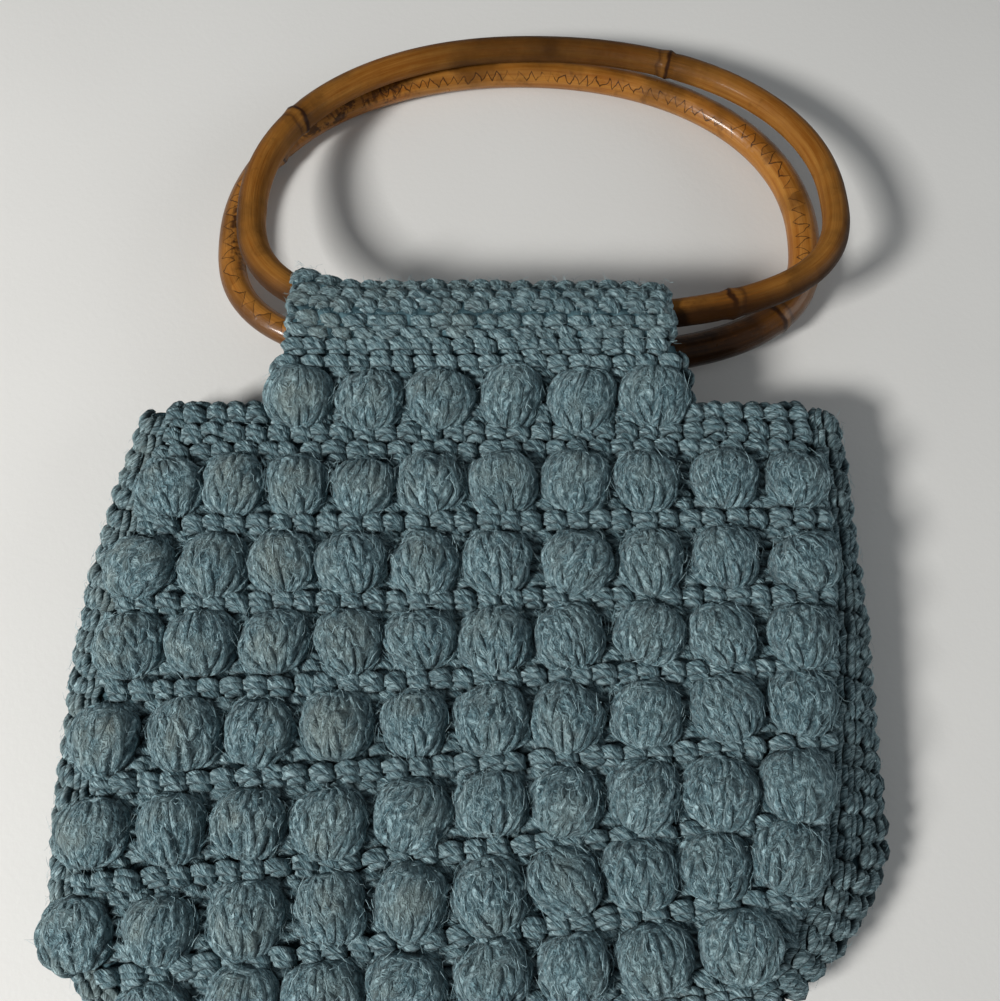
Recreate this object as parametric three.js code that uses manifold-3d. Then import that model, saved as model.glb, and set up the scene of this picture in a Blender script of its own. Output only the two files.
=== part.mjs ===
// A crocheted handbag lying on its back. Two bobbled panels are joined by a plain strip round the sides and
// the bottom, and two oval bamboo handles pass through sleeves at the top of the neck.
// Millimetres. +Z is up from the surface that the bag lies on, and +Y runs from its bottom to its handles.

import * as THREE from "three";
import { mergeVertices } from "three/addons/utils/BufferGeometryUtils.js";
import Module from "manifold-3d";

// Body of the bag
const HALF_WIDTH = 115; // half the width at the widest row of bobbles
const BODY_HEIGHT = 176; // shoulders to bottom edge, along the middle
const NECK_HEIGHT = 19; // shoulders to the lower edge of the sleeves
const NECK_HALF_WIDTH = 67; // at the shoulders
const FABRIC = 4; // thickness of the plain crochet
const POUCH_DEPTH = 11.5; // free height between the two panels
const EDGE_DROP = 5; // how far the front panel's edge curls down
const EDGE_CURL = 18; // width of that curl
const SIDE_BULGE = 2.6; // how far the side strip bows outwards

// Bobbles
const BOBBLE_RADIUS = 9.8; // at the widest
const BOBBLE_RISE = 9.5; // above the front panel
const BOBBLE_REST = 6.5; // height of the flattened ones that the bag lies on

// Handles, each a length of cane bent into an oval with a flatter lower side
const HANDLE_HALF_WIDTH = 99.3; // to the middle of the cane
const HANDLE_UPPER = 70.7; // widest level to the top
const HANDLE_LOWER = 48.2; // widest level to the lower bar
const UPPER_ROUNDNESS = 2.1; // exponents of the oval: 2 is an ellipse, more is squarer
const LOWER_ROUNDNESS = 2.76;
const CANE_THICK = 5.8; // radius at the root of a cane
const CANE_MIDDLING = 4.9;
const CANE_THIN = 4.3; // radius at its tip
const NODE_RIDGE = 0.7; // how far a growth ring stands out
const NODE_WIDTH = 3.2; // half the length of that ridge

// Sleeves
const SLEEVE_WALL = 3;
const SLEEVE_LEFT = -59; // ends of both sleeves, from the middle of the bag
const SLEEVE_RIGHT = 63;
const SLEEVE_SLACK = 4; // how far a sleeve reaches up past the middle of its bar
const MOUTH_GAP = 5.8; // free height between the two sleeves

// Fits
const FIT = 0.3; // gap between pieces that touch
const OVERLAP = 1.5; // how deep joined forms run into each other
const WELD = 0.02;

// The outline from the shoulders down. down is a share of BODY_HEIGHT, rise is the slope of the crochet's rows to
// the right, and the others are the edges of each panel as shares of HALF_WIDTH.
const OUTLINE = [
  { down: 0.0, rise: 0.0, left: -0.85, right: 0.935, backLeft: -0.885, backRight: 0.967 },
  { down: 0.146, rise: 0.014, left: -0.905, right: 0.955, backLeft: -0.947, backRight: 0.966 },
  { down: 0.288, rise: 0.01, left: -0.94, right: 0.955, backLeft: -0.984, backRight: 0.989 },
  { down: 0.417, rise: 0.02, left: -0.96, right: 0.945, backLeft: -1.0, backRight: 1.002 },
  { down: 0.55, rise: 0.05, left: -0.972, right: 0.925, backLeft: -0.997, backRight: 1.005 },
  { down: 0.687, rise: 0.066, left: -0.975, right: 0.9, backLeft: -0.988, backRight: 1.014 },
  { down: 0.812, rise: 0.098, left: -0.955, right: 0.868, backLeft: -0.968, backRight: 1.018 },
  { down: 0.88, rise: 0.108, left: -0.88, right: 0.83, backLeft: -0.86, backRight: 0.98 },
  { down: 0.945, rise: 0.113, left: -0.78, right: 0.77, backLeft: -0.74, backRight: 0.892 },
  { down: 1.0, rise: 0.113, left: -0.65, right: 0.69, backLeft: -0.616, backRight: 0.778 },
];
// Rows of bobbles on the body. first and last are the front's end bobbles and bow the shift of its middle ones,
// as shares of HALF_WIDTH. tuck is how far the back's end bobbles stand in from its edge, as a share of
// BOBBLE_RADIUS.
const BOBBLE_ROWS = [
  { down: 0.146, first: -0.807, last: 0.862, bow: -0.039, count: 10, tuck: 1.2 },
  { down: 0.288, first: -0.859, last: 0.857, bow: -0.026, count: 10, tuck: 1.2 },
  { down: 0.417, first: -0.87, last: 0.837, bow: -0.022, count: 10, tuck: 1.2 },
  { down: 0.55, first: -0.908, last: 0.821, bow: -0.004, count: 10, tuck: 1.2 },
  { down: 0.687, first: -0.919, last: 0.791, bow: 0.015, count: 10, tuck: 1.2 },
  { down: 0.812, first: -0.931, last: 0.766, bow: 0.035, count: 10, tuck: 1.5 },
  { down: 0.931, first: -0.731, last: 0.629, bow: 0.0, count: 8, tuck: 1.6 },
];
// The neck's row of bobbles: up is a share of NECK_HEIGHT, first and last are shares of NECK_HALF_WIDTH.
const NECK_ROW = { up: 0.132, first: -0.819, last: 0.839, count: 6 };
// The neck from the shoulders up to the sleeve: left and right are shares of NECK_HALF_WIDTH.
const NECK_SECTIONS = [
  { up: 0.0, left: -0.985, right: 1.045 },
  { up: 0.45, left: -0.97, right: 1.03 },
  { up: 1.0, left: -0.91, right: 0.96 },
];
// Each handle: its sideways place, its reach to the left and right as shares of HANDLE_HALF_WIDTH, its turn in its
// own plane, how high the lower side of its sleeve lies as a share of NECK_HEIGHT, the cane's radius at both ends,
// and its growth rings as shares of the way round it.
const FRONT_HANDLE = {
  across: 18.3, left: 0.927, right: 1.033, turn: 0.021, seam: 0.95,
  start: CANE_THIN, end: CANE_MIDDLING, rings: [0.123, 0.414, 0.69],
};
const BACK_HANDLE = {
  across: 15.3, left: 1.016, right: 1.0, turn: 0.003, seam: 0.7,
  start: CANE_THICK, end: CANE_THIN, rings: [0.17, 0.685],
};

// Fineness of the faceted surfaces
const PANEL_CELLS_ACROSS = 12;
const NECK_CELLS_ACROSS = 4;
const BOBBLE_SIDES = 8;
const CANE_SIDES = 8;
const CANE_SECTIONS = 52;
const STRIP_ARC = 4; // cells across the side strip
const BOTTOM_CELLS = 8; // cells of the side strip along the bottom
const SLEEVE_ARC = 6; // cells round each end of a sleeve's section
const SLEEVE_SECTIONS = 8;

// Levels of the walls, from the surface that the bag lies on
const BACK_OUTSIDE = BOBBLE_REST;
const BACK_INSIDE = BACK_OUTSIDE + FABRIC;
const FRONT_INSIDE = BACK_INSIDE + POUCH_DEPTH;
const FRONT_OUTSIDE = FRONT_INSIDE + FABRIC;

const wasm = await Module();
wasm.setup();

// Works a table's column out at a level between two of its rows.
function between(table, key, level, column) {
  let i = 1;
  while (i < table.length - 1 && table[i][key] < level) i += 1;
  const low = table[i - 1];
  const high = table[i];
  return THREE.MathUtils.mapLinear(level, low[key], high[key], low[column], high[column]);
}

// A closed mesh as a solid that can be joined and cut.
function solidOf(geometry) {
  const bare = geometry.clone();
  bare.deleteAttribute("normal");
  bare.deleteAttribute("uv");
  const merged = mergeVertices(bare, 1e-4);
  const mesh = new wasm.Mesh({
    numProp: 3,
    vertProperties: new Float32Array(merged.attributes.position.array),
    triVerts: new Uint32Array(merged.index.array),
  });
  return new wasm.Manifold(mesh);
}

// Points closer together than WELD are drawn into one, so that a join leaves no slivers.
function geometryOf(solid) {
  const mesh = solid.asOriginal().simplify(WELD).getMesh();
  const geometry = new THREE.BufferGeometry();
  geometry.setAttribute("position", new THREE.BufferAttribute(mesh.vertProperties, 3));
  geometry.setIndex(new THREE.BufferAttribute(mesh.triVerts, 1));
  geometry.computeVertexNormals();
  return geometry;
}

// A closed body from rings of points: rings[i][j], with each ring closed and the rings capped at both ends, or
// joined end to end where loop is true. The rings turn anticlockwise seen from the far end.
function bodyOfRings(rings, loop) {
  const size = rings[0].length;
  const positions = rings.flat().flatMap((p) => [p.x, p.y, p.z]);
  const index = [];
  const steps = loop ? rings.length : rings.length - 1;
  for (let i = 0; i < steps; i += 1) {
    const next = (i + 1) % rings.length;
    for (let j = 0; j < size; j += 1) {
      const k = (j + 1) % size;
      const a = i * size + j;
      const b = i * size + k;
      const c = next * size + k;
      const d = next * size + j;
      index.push(a, b, c, a, c, d);
    }
  }
  if (!loop) {
    // A ring made of a front run and a back run of equal length is capped by the strip between them.
    const half = size / 2;
    const last = (rings.length - 1) * size;
    for (let j = 0; j < half - 1; j += 1) {
      const far = size - 1 - j;
      index.push(j, far, far - 1, j, far - 1, j + 1);
      index.push(last + j, last + far - 1, last + far, last + j, last + j + 1, last + far - 1);
    }
  }
  const geometry = new THREE.BufferGeometry();
  geometry.setAttribute("position", new THREE.Float32BufferAttribute(positions, 3));
  geometry.setIndex(index);
  geometry.computeVertexNormals();
  return geometry;
}

// How far the panel has curled down at a distance from its nearer edge.
function curlAt(distance) {
  const left = Math.max(0, 1 - distance / EDGE_CURL);
  return EDGE_DROP * left * left;
}

// A point of a panel's outline or inside it: share runs from its left edge to its right one.
function panelPoint(share, down, front) {
  const left = between(OUTLINE, "down", down, front ? "left" : "backLeft") * HALF_WIDTH;
  const right = between(OUTLINE, "down", down, front ? "right" : "backRight") * HALF_WIDTH;
  const x = THREE.MathUtils.lerp(left, right, share);
  const y = between(OUTLINE, "down", down, "rise") * x - down * BODY_HEIGHT;
  return { x, y, margin: Math.min(x - left, right - x, (1 - down) * BODY_HEIGHT) };
}

// The body of a panel, between the levels low and high, which curls down at the sides and bottom on the front.
function panelBody(low, high, front) {
  const rings = OUTLINE.map(({ down }) => {
    const run = Array.from({ length: PANEL_CELLS_ACROSS + 1 }, (_, i) => {
      const { x, y, margin } = panelPoint(i / PANEL_CELLS_ACROSS, down, front);
      return { x, y, drop: front ? curlAt(margin) : 0 };
    });
    const upper = run.map((p) => new THREE.Vector3(p.x, p.y, high - p.drop));
    const lower = run.map((p) => new THREE.Vector3(p.x, p.y, low - p.drop));
    return [...upper, ...lower.reverse()];
  });
  return solidOf(bodyOfRings(rings.reverse(), false));
}

// The neck of a panel: it starts at the panel's own level and ends at the level of its sleeve.
function panelNeck(low, high, sleeveLevel, end) {
  const sections = [{ up: -OVERLAP / NECK_HEIGHT, left: NECK_SECTIONS[0].left, right: NECK_SECTIONS[0].right }, ...NECK_SECTIONS];
  const rings = sections.map(({ up, left, right }) => {
    const y = Math.min(up * NECK_HEIGHT, end);
    const lift = (sleeveLevel - (low + high) / 2) * Math.max(0, up) ** 1.5;
    const xs = Array.from({ length: NECK_CELLS_ACROSS + 1 }, (_, i) =>
      THREE.MathUtils.lerp(left, right, i / NECK_CELLS_ACROSS) * NECK_HALF_WIDTH,
    );
    const upper = xs.map((x) => new THREE.Vector3(x, y, high + lift));
    const lower = xs.map((x) => new THREE.Vector3(x, y, low + lift));
    return [...upper, ...lower.reverse()];
  });
  return solidOf(bodyOfRings(rings, false));
}

// A bobble that stands on z = 0 and runs a little below it, pinched in where it meets the fabric.
function bobbleSolid(radius, rise, flat) {
  const profile = [
    [0, -OVERLAP],
    [0.82 * radius, -OVERLAP],
    [radius, 0.42 * rise],
    [flat ? 0.8 * radius : 0.68 * radius, flat ? rise : 0.82 * rise],
    [0, rise],
  ];
  const turned = new THREE.LatheGeometry(profile.map(([r, h]) => new THREE.Vector2(r, h)), BOBBLE_SIDES);
  return solidOf(turned.rotateX(Math.PI / 2));
}

// Bobble centres of one row: bow shifts the middle of the row sideways.
function bobblesAlong(first, last, count, bow) {
  return Array.from({ length: count }, (_, i) => {
    const share = i / (count - 1);
    return THREE.MathUtils.lerp(first, last, share) + bow * Math.sin(Math.PI * share);
  });
}

// The neck's bobbles stand alike on both sides.
function neckBobblePlaces() {
  return bobblesAlong(NECK_ROW.first, NECK_ROW.last, NECK_ROW.count, 0).map((share) => ({
    x: share * NECK_HALF_WIDTH,
    y: NECK_ROW.up * NECK_HEIGHT,
    drop: 0,
  }));
}

function frontBobblePlaces() {
  const places = BOBBLE_ROWS.flatMap(({ down, first, last, bow, count }) => {
    const rise = between(OUTLINE, "down", down, "rise");
    const left = between(OUTLINE, "down", down, "left");
    const right = between(OUTLINE, "down", down, "right");
    return bobblesAlong(first, last, count, bow).map((share) => {
      const x = share * HALF_WIDTH;
      const margin = Math.min((share - left) * HALF_WIDTH, (right - share) * HALF_WIDTH, (1 - down) * BODY_HEIGHT);
      return { x, y: rise * x - down * BODY_HEIGHT, drop: curlAt(Math.max(BOBBLE_RADIUS / 2, margin)) };
    });
  });
  return [...places, ...neckBobblePlaces()];
}

// The back has the same rows, spread evenly between its own edges.
function backBobblePlaces() {
  const places = BOBBLE_ROWS.flatMap(({ down, count, tuck }) => {
    const rise = between(OUTLINE, "down", down, "rise");
    const inset = (tuck * BOBBLE_RADIUS) / HALF_WIDTH;
    const first = between(OUTLINE, "down", down, "backLeft") + inset;
    const last = between(OUTLINE, "down", down, "backRight") - inset;
    return bobblesAlong(first, last, count, 0).map((share) => {
      const x = share * HALF_WIDTH;
      return { x, y: rise * x - down * BODY_HEIGHT };
    });
  });
  return [...places, ...neckBobblePlaces()];
}

function frontPanel(sleeve) {
  const bobble = bobbleSolid(BOBBLE_RADIUS, BOBBLE_RISE, false);
  let panel = panelBody(FRONT_INSIDE, FRONT_OUTSIDE, true);
  panel = panel.add(panelNeck(FRONT_INSIDE, FRONT_OUTSIDE, sleeve.level, sleeve.lowerEdge - FIT));
  const bobbles = frontBobblePlaces().map(({ x, y, drop }) => bobble.translate([x, y, FRONT_OUTSIDE - drop]));
  return geometryOf(bobbles.reduce((all, one) => all.add(one), panel));
}

function backPanel(sleeve) {
  const bobble = bobbleSolid(BOBBLE_RADIUS, BOBBLE_REST, true).rotate([180, 0, 0]);
  let panel = panelBody(BACK_OUTSIDE, BACK_INSIDE, false);
  panel = panel.add(panelNeck(BACK_OUTSIDE, BACK_INSIDE, sleeve.level, sleeve.lowerEdge - FIT));
  const bobbles = backBobblePlaces().map(({ x, y }) => bobble.translate([x, y, BACK_OUTSIDE]));
  return geometryOf(bobbles.reduce((all, one) => all.add(one), panel));
}

// The edge of a panel from its left shoulder, round the bottom, to its right shoulder.
function panelEdge(front) {
  const levels = OUTLINE.map((row) => row.down);
  const left = levels.map((down) => panelPoint(0, down, front));
  const bottom = Array.from({ length: BOTTOM_CELLS - 1 }, (_, i) => panelPoint((i + 1) / BOTTOM_CELLS, 1, front));
  const right = levels.map((down) => panelPoint(1, down, front)).reverse();
  return [...left, ...bottom, ...right].map(({ x, y }) => new THREE.Vector2(x, y));
}

// The way out of the bag, square to its edge, at each point of that edge.
function outwardsAlong(edge) {
  return edge.map((_, i) => {
    const ahead = edge[Math.min(i + 1, edge.length - 1)];
    const behind = edge[Math.max(i - 1, 0)];
    const along = ahead.clone().sub(behind).normalize();
    return new THREE.Vector2(along.y, -along.x);
  });
}

// The strip of plain crochet that joins the panels: a bowed wall from one panel's edge to the other's.
function sideStrip() {
  const frontEdge = panelEdge(true);
  const backEdge = panelEdge(false);
  const frontWays = outwardsAlong(frontEdge);
  const backWays = outwardsAlong(backEdge);
  const high = FRONT_OUTSIDE - EDGE_DROP;
  const middle = (high + BACK_OUTSIDE) / 2;
  const halfHeight = (high - BACK_OUTSIDE) / 2;
  const rings = frontEdge.map((from, i) => {
    const to = backEdge[i];
    const wallPoint = (angle, bulge, height) => {
      const share = (1 - Math.sin(angle)) / 2;
      const out = frontWays[i].clone().lerp(backWays[i], share).normalize();
      const reach = FIT + bulge * Math.cos(angle);
      return new THREE.Vector3(
        THREE.MathUtils.lerp(from.x, to.x, share) + out.x * reach,
        THREE.MathUtils.lerp(from.y, to.y, share) + out.y * reach,
        middle + height * Math.sin(angle),
      );
    };
    const angles = Array.from({ length: STRIP_ARC + 1 }, (_, j) => Math.PI * (0.5 - j / STRIP_ARC));
    const outer = angles.map((angle) => wallPoint(angle, SIDE_BULGE + FABRIC, halfHeight));
    const inner = angles.map((angle) => wallPoint(angle, SIDE_BULGE, halfHeight - FABRIC));
    return [...outer, ...inner.reverse()];
  });
  return bodyOfRings(rings, false);
}

// How far a handle's middle line reaches on one side, which the sign of side tells.
function reach(handle, side) {
  return HANDLE_HALF_WIDTH * (side < 0 ? handle.left : handle.right);
}

// The middle line of a handle, once round from the middle of its lower bar, in its own plane.
class HandleLine extends THREE.Curve {
  constructor(handle) {
    super();
    this.handle = handle;
    this.arcLengthDivisions = 800;
  }

  getPoint(t, target = new THREE.Vector3()) {
    const angle = 2 * Math.PI * t - Math.PI / 2;
    const c = Math.cos(angle);
    const s = Math.sin(angle);
    const power = 2 / (s > 0 ? UPPER_ROUNDNESS : LOWER_ROUNDNESS);
    const height = s > 0 ? HANDLE_UPPER : HANDLE_LOWER;
    const x = reach(this.handle, c) * Math.sign(c) * Math.abs(c) ** power;
    const y = height * Math.sign(s) * Math.abs(s) ** power;
    return target.set(x, y, 0);
  }
}

FRONT_HANDLE.line = new HandleLine(FRONT_HANDLE);
BACK_HANDLE.line = new HandleLine(BACK_HANDLE);

// The cane's radius a share of the way round: it tapers, and swells at each growth ring.
function caneRadius(share, handle) {
  const length = handle.line.getLength();
  const swell = handle.rings.reduce((sum, ring) => {
    const away = ((share - ring) * length) / NODE_WIDTH;
    return sum + NODE_RIDGE * Math.exp(-4 * away * away);
  }, 0);
  return THREE.MathUtils.lerp(handle.start, handle.end, share) + swell;
}

// The cane bent round its line, in the handle's own frame: the lower bar's middle is the origin.
function caneGeometry(handle) {
  const step = NODE_WIDTH / handle.line.getLength();
  const even = Array.from({ length: CANE_SECTIONS }, (_, i) => i / CANE_SECTIONS);
  const extra = handle.rings.flatMap((ring) => [ring - step, ring, ring + step]);
  const clear = even.filter((share) => extra.every((other) => Math.abs(other - share) > step / 2));
  const shares = [...clear, ...extra].sort((a, b) => a - b);
  const turn = new THREE.Matrix4().makeRotationZ(handle.turn);
  const rings = shares.map((share) => {
    const centre = handle.line.getPointAt(share);
    const along = handle.line.getTangentAt(share);
    const out = new THREE.Vector3(along.y, -along.x, 0);
    const radius = caneRadius(share, handle);
    return Array.from({ length: CANE_SIDES }, (_, j) => {
      const angle = (2 * Math.PI * (j + 0.5)) / CANE_SIDES;
      return centre
        .clone()
        .addScaledVector(out, radius * Math.cos(angle))
        .add(new THREE.Vector3(0, HANDLE_LOWER, radius * Math.sin(angle)))
        .applyMatrix4(turn);
    });
  });
  return bodyOfRings(rings.map((ring) => ring.reverse()), true);
}

// The middle of the lower bar at a place along it, in the handle's own frame, and its slope there.
function barAt(handle, x) {
  const share = Math.abs(x) / reach(handle, x);
  const left = 1 - share ** LOWER_ROUNDNESS;
  const y = HANDLE_LOWER * (1 - left ** (1 / LOWER_ROUNDNESS)) + handle.turn * x;
  const steep = (HANDLE_LOWER / reach(handle, x)) * (share / left ** (1 / LOWER_ROUNDNESS)) ** (LOWER_ROUNDNESS - 1);
  return { y, slope: Math.sign(x) * steep + handle.turn };
}

// A sleeve's half thickness inside, from the thickest cane that it holds.
function sleeveBore(handle) {
  return Math.max(handle.start, handle.end) + FIT;
}

function sleeveRadius(handle) {
  return sleeveBore(handle) + SLEEVE_WALL;
}

// A thick tube from outer and inner rings that go along it side by side.
function tubeOfRings(outer, inner) {
  const size = outer[0].length;
  const count = outer.length * size;
  const positions = [...outer.flat(), ...inner.flat()].flatMap((p) => [p.x, p.y, p.z]);
  const index = [];
  const last = (outer.length - 1) * size;
  for (let j = 0; j < size; j += 1) {
    const k = (j + 1) % size;
    for (let from = 0; from < last; from += size) {
      const to = from + size;
      index.push(from + j, from + k, to + k, from + j, to + k, to + j);
      const [a, b, c, d] = [from + j, from + k, to + k, to + j].map((i) => i + count);
      index.push(a, c, b, a, d, c);
    }
    index.push(last + j, last + k, last + k + count, last + j, last + k + count, last + j + count);
    index.push(j, k + count, k, j, j + count, k + count);
  }
  const geometry = new THREE.BufferGeometry();
  geometry.setAttribute("position", new THREE.Float32BufferAttribute(positions, 3));
  geometry.setIndex(index);
  geometry.computeVertexNormals();
  return geometry;
}

// A sleeve round the bar, in the handle's own frame: a flattened tube that follows the bar's rise to its ends.
function sleeveGeometry(handle) {
  const bore = sleeveBore(handle);
  const ringAt = (x, radius) => {
    const bar = barAt(handle, x);
    const thicker = bore * (Math.hypot(1, bar.slope) - 1);
    const high = Math.max(bar.y + thicker, SLEEVE_SLACK);
    return [
      [high, 0],
      [0, Math.PI],
    ].flatMap(([y, from]) =>
      Array.from({ length: SLEEVE_ARC + 1 }, (_, i) => {
        const angle = from - Math.PI / 2 + (Math.PI * i) / SLEEVE_ARC;
        return new THREE.Vector3(x, y + radius * Math.cos(angle), radius * Math.sin(angle));
      }),
    );
  };
  const places = Array.from({ length: SLEEVE_SECTIONS + 1 }, (_, i) =>
    THREE.MathUtils.lerp(SLEEVE_LEFT, SLEEVE_RIGHT, i / SLEEVE_SECTIONS) - handle.across,
  );
  return tubeOfRings(
    places.map((x) => ringAt(x, sleeveRadius(handle))),
    places.map((x) => ringAt(x, bore)),
  );
}

// Where a handle and its sleeve stand: the tilt that brings the handle's far end down to tipLevel, and how far its
// bar lies above the shoulders.
function seat(handle, level, tipLevel) {
  const tilt = Math.asin((level - tipLevel) / (HANDLE_UPPER + HANDLE_LOWER));
  const lowerEdge = handle.seam * NECK_HEIGHT;
  return { level, tilt, lowerEdge, barRise: lowerEdge + sleeveRadius(handle) };
}

// The back handle lies on the surface with its far end, and the front one across the back one's.
const backTip = caneRadius(0.5, BACK_HANDLE);
const frontTip = 2 * backTip + caneRadius(0.5, FRONT_HANDLE);
const backLevel = sleeveRadius(BACK_HANDLE) + 2 * FIT;
const frontLevel = backLevel + sleeveRadius(BACK_HANDLE) + MOUTH_GAP + sleeveRadius(FRONT_HANDLE);
const backSeat = seat(BACK_HANDLE, backLevel, backTip);
const frontSeat = seat(FRONT_HANDLE, frontLevel, frontTip);

const WOOL = new THREE.MeshStandardMaterial({ color: 0x5f7b85, roughness: 0.95, metalness: 0 });
const BAMBOO = new THREE.MeshStandardMaterial({ color: 0xa5672b, roughness: 0.35, metalness: 0 });

function mesh(name, geometry, material) {
  const made = new THREE.Mesh(geometry, material);
  made.name = name;
  return made;
}

// A handle with its sleeve, tilted about the lower bar.
function handleGroup(prefix, handle, place) {
  const group = new THREE.Group();
  group.add(mesh(prefix + "_handle", caneGeometry(handle), BAMBOO));
  group.add(mesh(prefix + "_sleeve", sleeveGeometry(handle), WOOL));
  group.rotation.x = -place.tilt;
  group.position.set(handle.across, place.barRise, place.level);
  return group;
}

const bag = new THREE.Group();
bag.add(mesh("front_panel", frontPanel(frontSeat), WOOL));
bag.add(mesh("back_panel", backPanel(backSeat), WOOL));
bag.add(mesh("side_strip", sideStrip(), WOOL));
bag.add(handleGroup("front", FRONT_HANDLE, frontSeat));
bag.add(handleGroup("back", BACK_HANDLE, backSeat));

// The origin lies on the resting surface, under the middle of the whole bag.
bag.updateMatrixWorld(true);
const box = new THREE.Box3().setFromObject(bag, true);
bag.position.set(-(box.min.x + box.max.x) / 2, -(box.min.y + box.max.y) / 2, -box.min.z);

const part = new THREE.Group();
part.add(bag);

export default part;
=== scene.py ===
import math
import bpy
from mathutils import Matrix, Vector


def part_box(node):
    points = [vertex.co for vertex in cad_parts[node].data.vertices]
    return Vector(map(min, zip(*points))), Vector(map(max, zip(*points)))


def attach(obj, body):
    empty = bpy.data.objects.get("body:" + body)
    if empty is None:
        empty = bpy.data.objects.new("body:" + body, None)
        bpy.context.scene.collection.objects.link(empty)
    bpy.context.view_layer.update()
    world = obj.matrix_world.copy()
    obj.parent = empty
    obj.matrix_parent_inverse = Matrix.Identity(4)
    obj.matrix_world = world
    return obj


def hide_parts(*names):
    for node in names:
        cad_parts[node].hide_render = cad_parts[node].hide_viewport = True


bl_info = {
    "name": "Bobble Bag",
    "version": (1, 0, 0),
    "blender": (4, 5, 0),
    "location": "3D View > Sidebar > Bobble Bag",
    "description": "Dresses the frame of a crocheted bag with its yarn, its cane handles and a studio",
    "category": "Object",
}

import bpy
import numpy as np
from bpy.props import FloatProperty, FloatVectorProperty, IntProperty, PointerProperty
from mathutils import Vector

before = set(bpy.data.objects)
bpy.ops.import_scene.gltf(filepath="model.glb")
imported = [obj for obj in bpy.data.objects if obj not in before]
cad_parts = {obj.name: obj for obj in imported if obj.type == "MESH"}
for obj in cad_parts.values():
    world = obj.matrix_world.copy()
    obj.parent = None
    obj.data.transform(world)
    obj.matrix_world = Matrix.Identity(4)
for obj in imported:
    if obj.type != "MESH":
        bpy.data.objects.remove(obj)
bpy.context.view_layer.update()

# Sizes of the frame, in millimetres. The zero point is the middle of the bag at its shoulders, with y towards the
# handles and z up from the surface that the bag lies on.
MM = 0.001
HALF_WIDTH = 115.0
BODY_HEIGHT = 176.0
NECK_HEIGHT = 19.0
NECK_HALF_WIDTH = 67.0
FABRIC = 4.0
CLOTH_DEPTH = 1.2
EDGE_DROP = 5.0
EDGE_CURL = 18.0
SIDE_BULGE = 2.6
BACK_OUTSIDE = 6.5
BACK_INSIDE = 10.5
FRONT_INSIDE = 22.0
FRONT_OUTSIDE = 26.0
FIT = 0.3

# The outline from the shoulders down: share of the height, slope of the rows, and the edges of the front and back
# panels as shares of the half width.
OUTLINE = np.array([
    (0.0, 0.0, -0.85, 0.935, -0.885, 0.967),
    (0.146, 0.014, -0.905, 0.955, -0.947, 0.966),
    (0.288, 0.01, -0.94, 0.955, -0.984, 0.989),
    (0.417, 0.02, -0.96, 0.945, -1.0, 1.002),
    (0.55, 0.05, -0.972, 0.925, -0.997, 1.005),
    (0.687, 0.066, -0.975, 0.9, -0.988, 1.014),
    (0.812, 0.098, -0.955, 0.868, -0.968, 1.018),
    (0.88, 0.108, -0.88, 0.83, -0.86, 0.98),
    (0.945, 0.113, -0.78, 0.77, -0.74, 0.892),
    (1.0, 0.113, -0.65, 0.69, -0.616, 0.778),
])
DOWN, RISE, LEFT, RIGHT, BACK_LEFT, BACK_RIGHT = range(6)
EDGES = {"front": (LEFT, RIGHT), "back": (BACK_LEFT, BACK_RIGHT)}
FACE = {"front": 1.0, "back": -1.0}

# Rows of bobbles on the body: share of the height, first and last bobble and bow of the front row as shares of the
# half width, number, and how far the back's end bobbles stand in, as a share of their radius.
BOBBLE_ROWS = [
    (0.146, -0.807, 0.862, -0.039, 10, 1.2),
    (0.288, -0.859, 0.857, -0.026, 10, 1.2),
    (0.417, -0.87, 0.837, -0.022, 10, 1.2),
    (0.55, -0.908, 0.821, -0.004, 10, 1.2),
    (0.687, -0.919, 0.791, 0.015, 10, 1.2),
    (0.812, -0.931, 0.766, 0.035, 10, 1.5),
    (0.931, -0.731, 0.629, 0.0, 8, 1.6),
]
# The row of the neck, as (share of its height, first and last bobble as shares of its half width, number)
NECK_BOBBLES = (0.132, -0.819, 0.839, 6)
BOBBLE_RADIUS = 9.8
# Left of this, the bobbles of the front are the widest.
FAR_LEFT = -84.0

# The heights of the lines of stitches on the neck, and the neck's sides from the shoulders up: share of its height,
# and its left and right edges as shares of its half width
NECK_LINES = (12.6, 17.2)
NECK_SIDES = np.array([(0.0, -0.985, 1.045), (0.45, -0.97, 1.03), (1.0, -0.91, 0.96)])

# Handles and their sleeves. seam is the height of a sleeve's seam as a share of the neck's, across and turn place a
# handle in it, start and end are the half thickness of its cane, and rings lie at shares of the way round it.
OVAL = {"half_width": 99.3, "upper": 70.7, "lower": 48.2, "upper_round": 2.1, "lower_round": 2.76}
SLEEVE_LEFT = -59.0
SLEEVE_RIGHT = 63.0
SLEEVE_SLACK = 4.0
SLEEVE_WALL = 3.0
MOUTH_GAP = 5.8
MOUTH_DRAW = 1.3
MOUTH_LENGTH = 8.0
HANDLES = {
    "front": {"across": 18.3, "left": 0.927, "right": 1.033, "turn": 0.021, "seam": 0.95,
              "start": 4.3, "end": 4.9, "rings": (0.123, 0.414, 0.69)},
    "back": {"across": 15.3, "left": 1.016, "right": 1.0, "turn": 0.003, "seam": 0.7,
             "start": 5.8, "end": 4.3, "rings": (0.17, 0.685)},
}

# A loose fibre of the wool, as (half thickness, how far it rises, shortest and longest)
FIBRE = (0.045, 0.9, 1.5, 4.0)

# A growth ring of the cane, as (height, place along the cane, width): a ridge, and a groove before it
RING_SHAPE = ((0.55, 0.0, 1.7), (-0.35, -2.4, 0.9))

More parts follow.
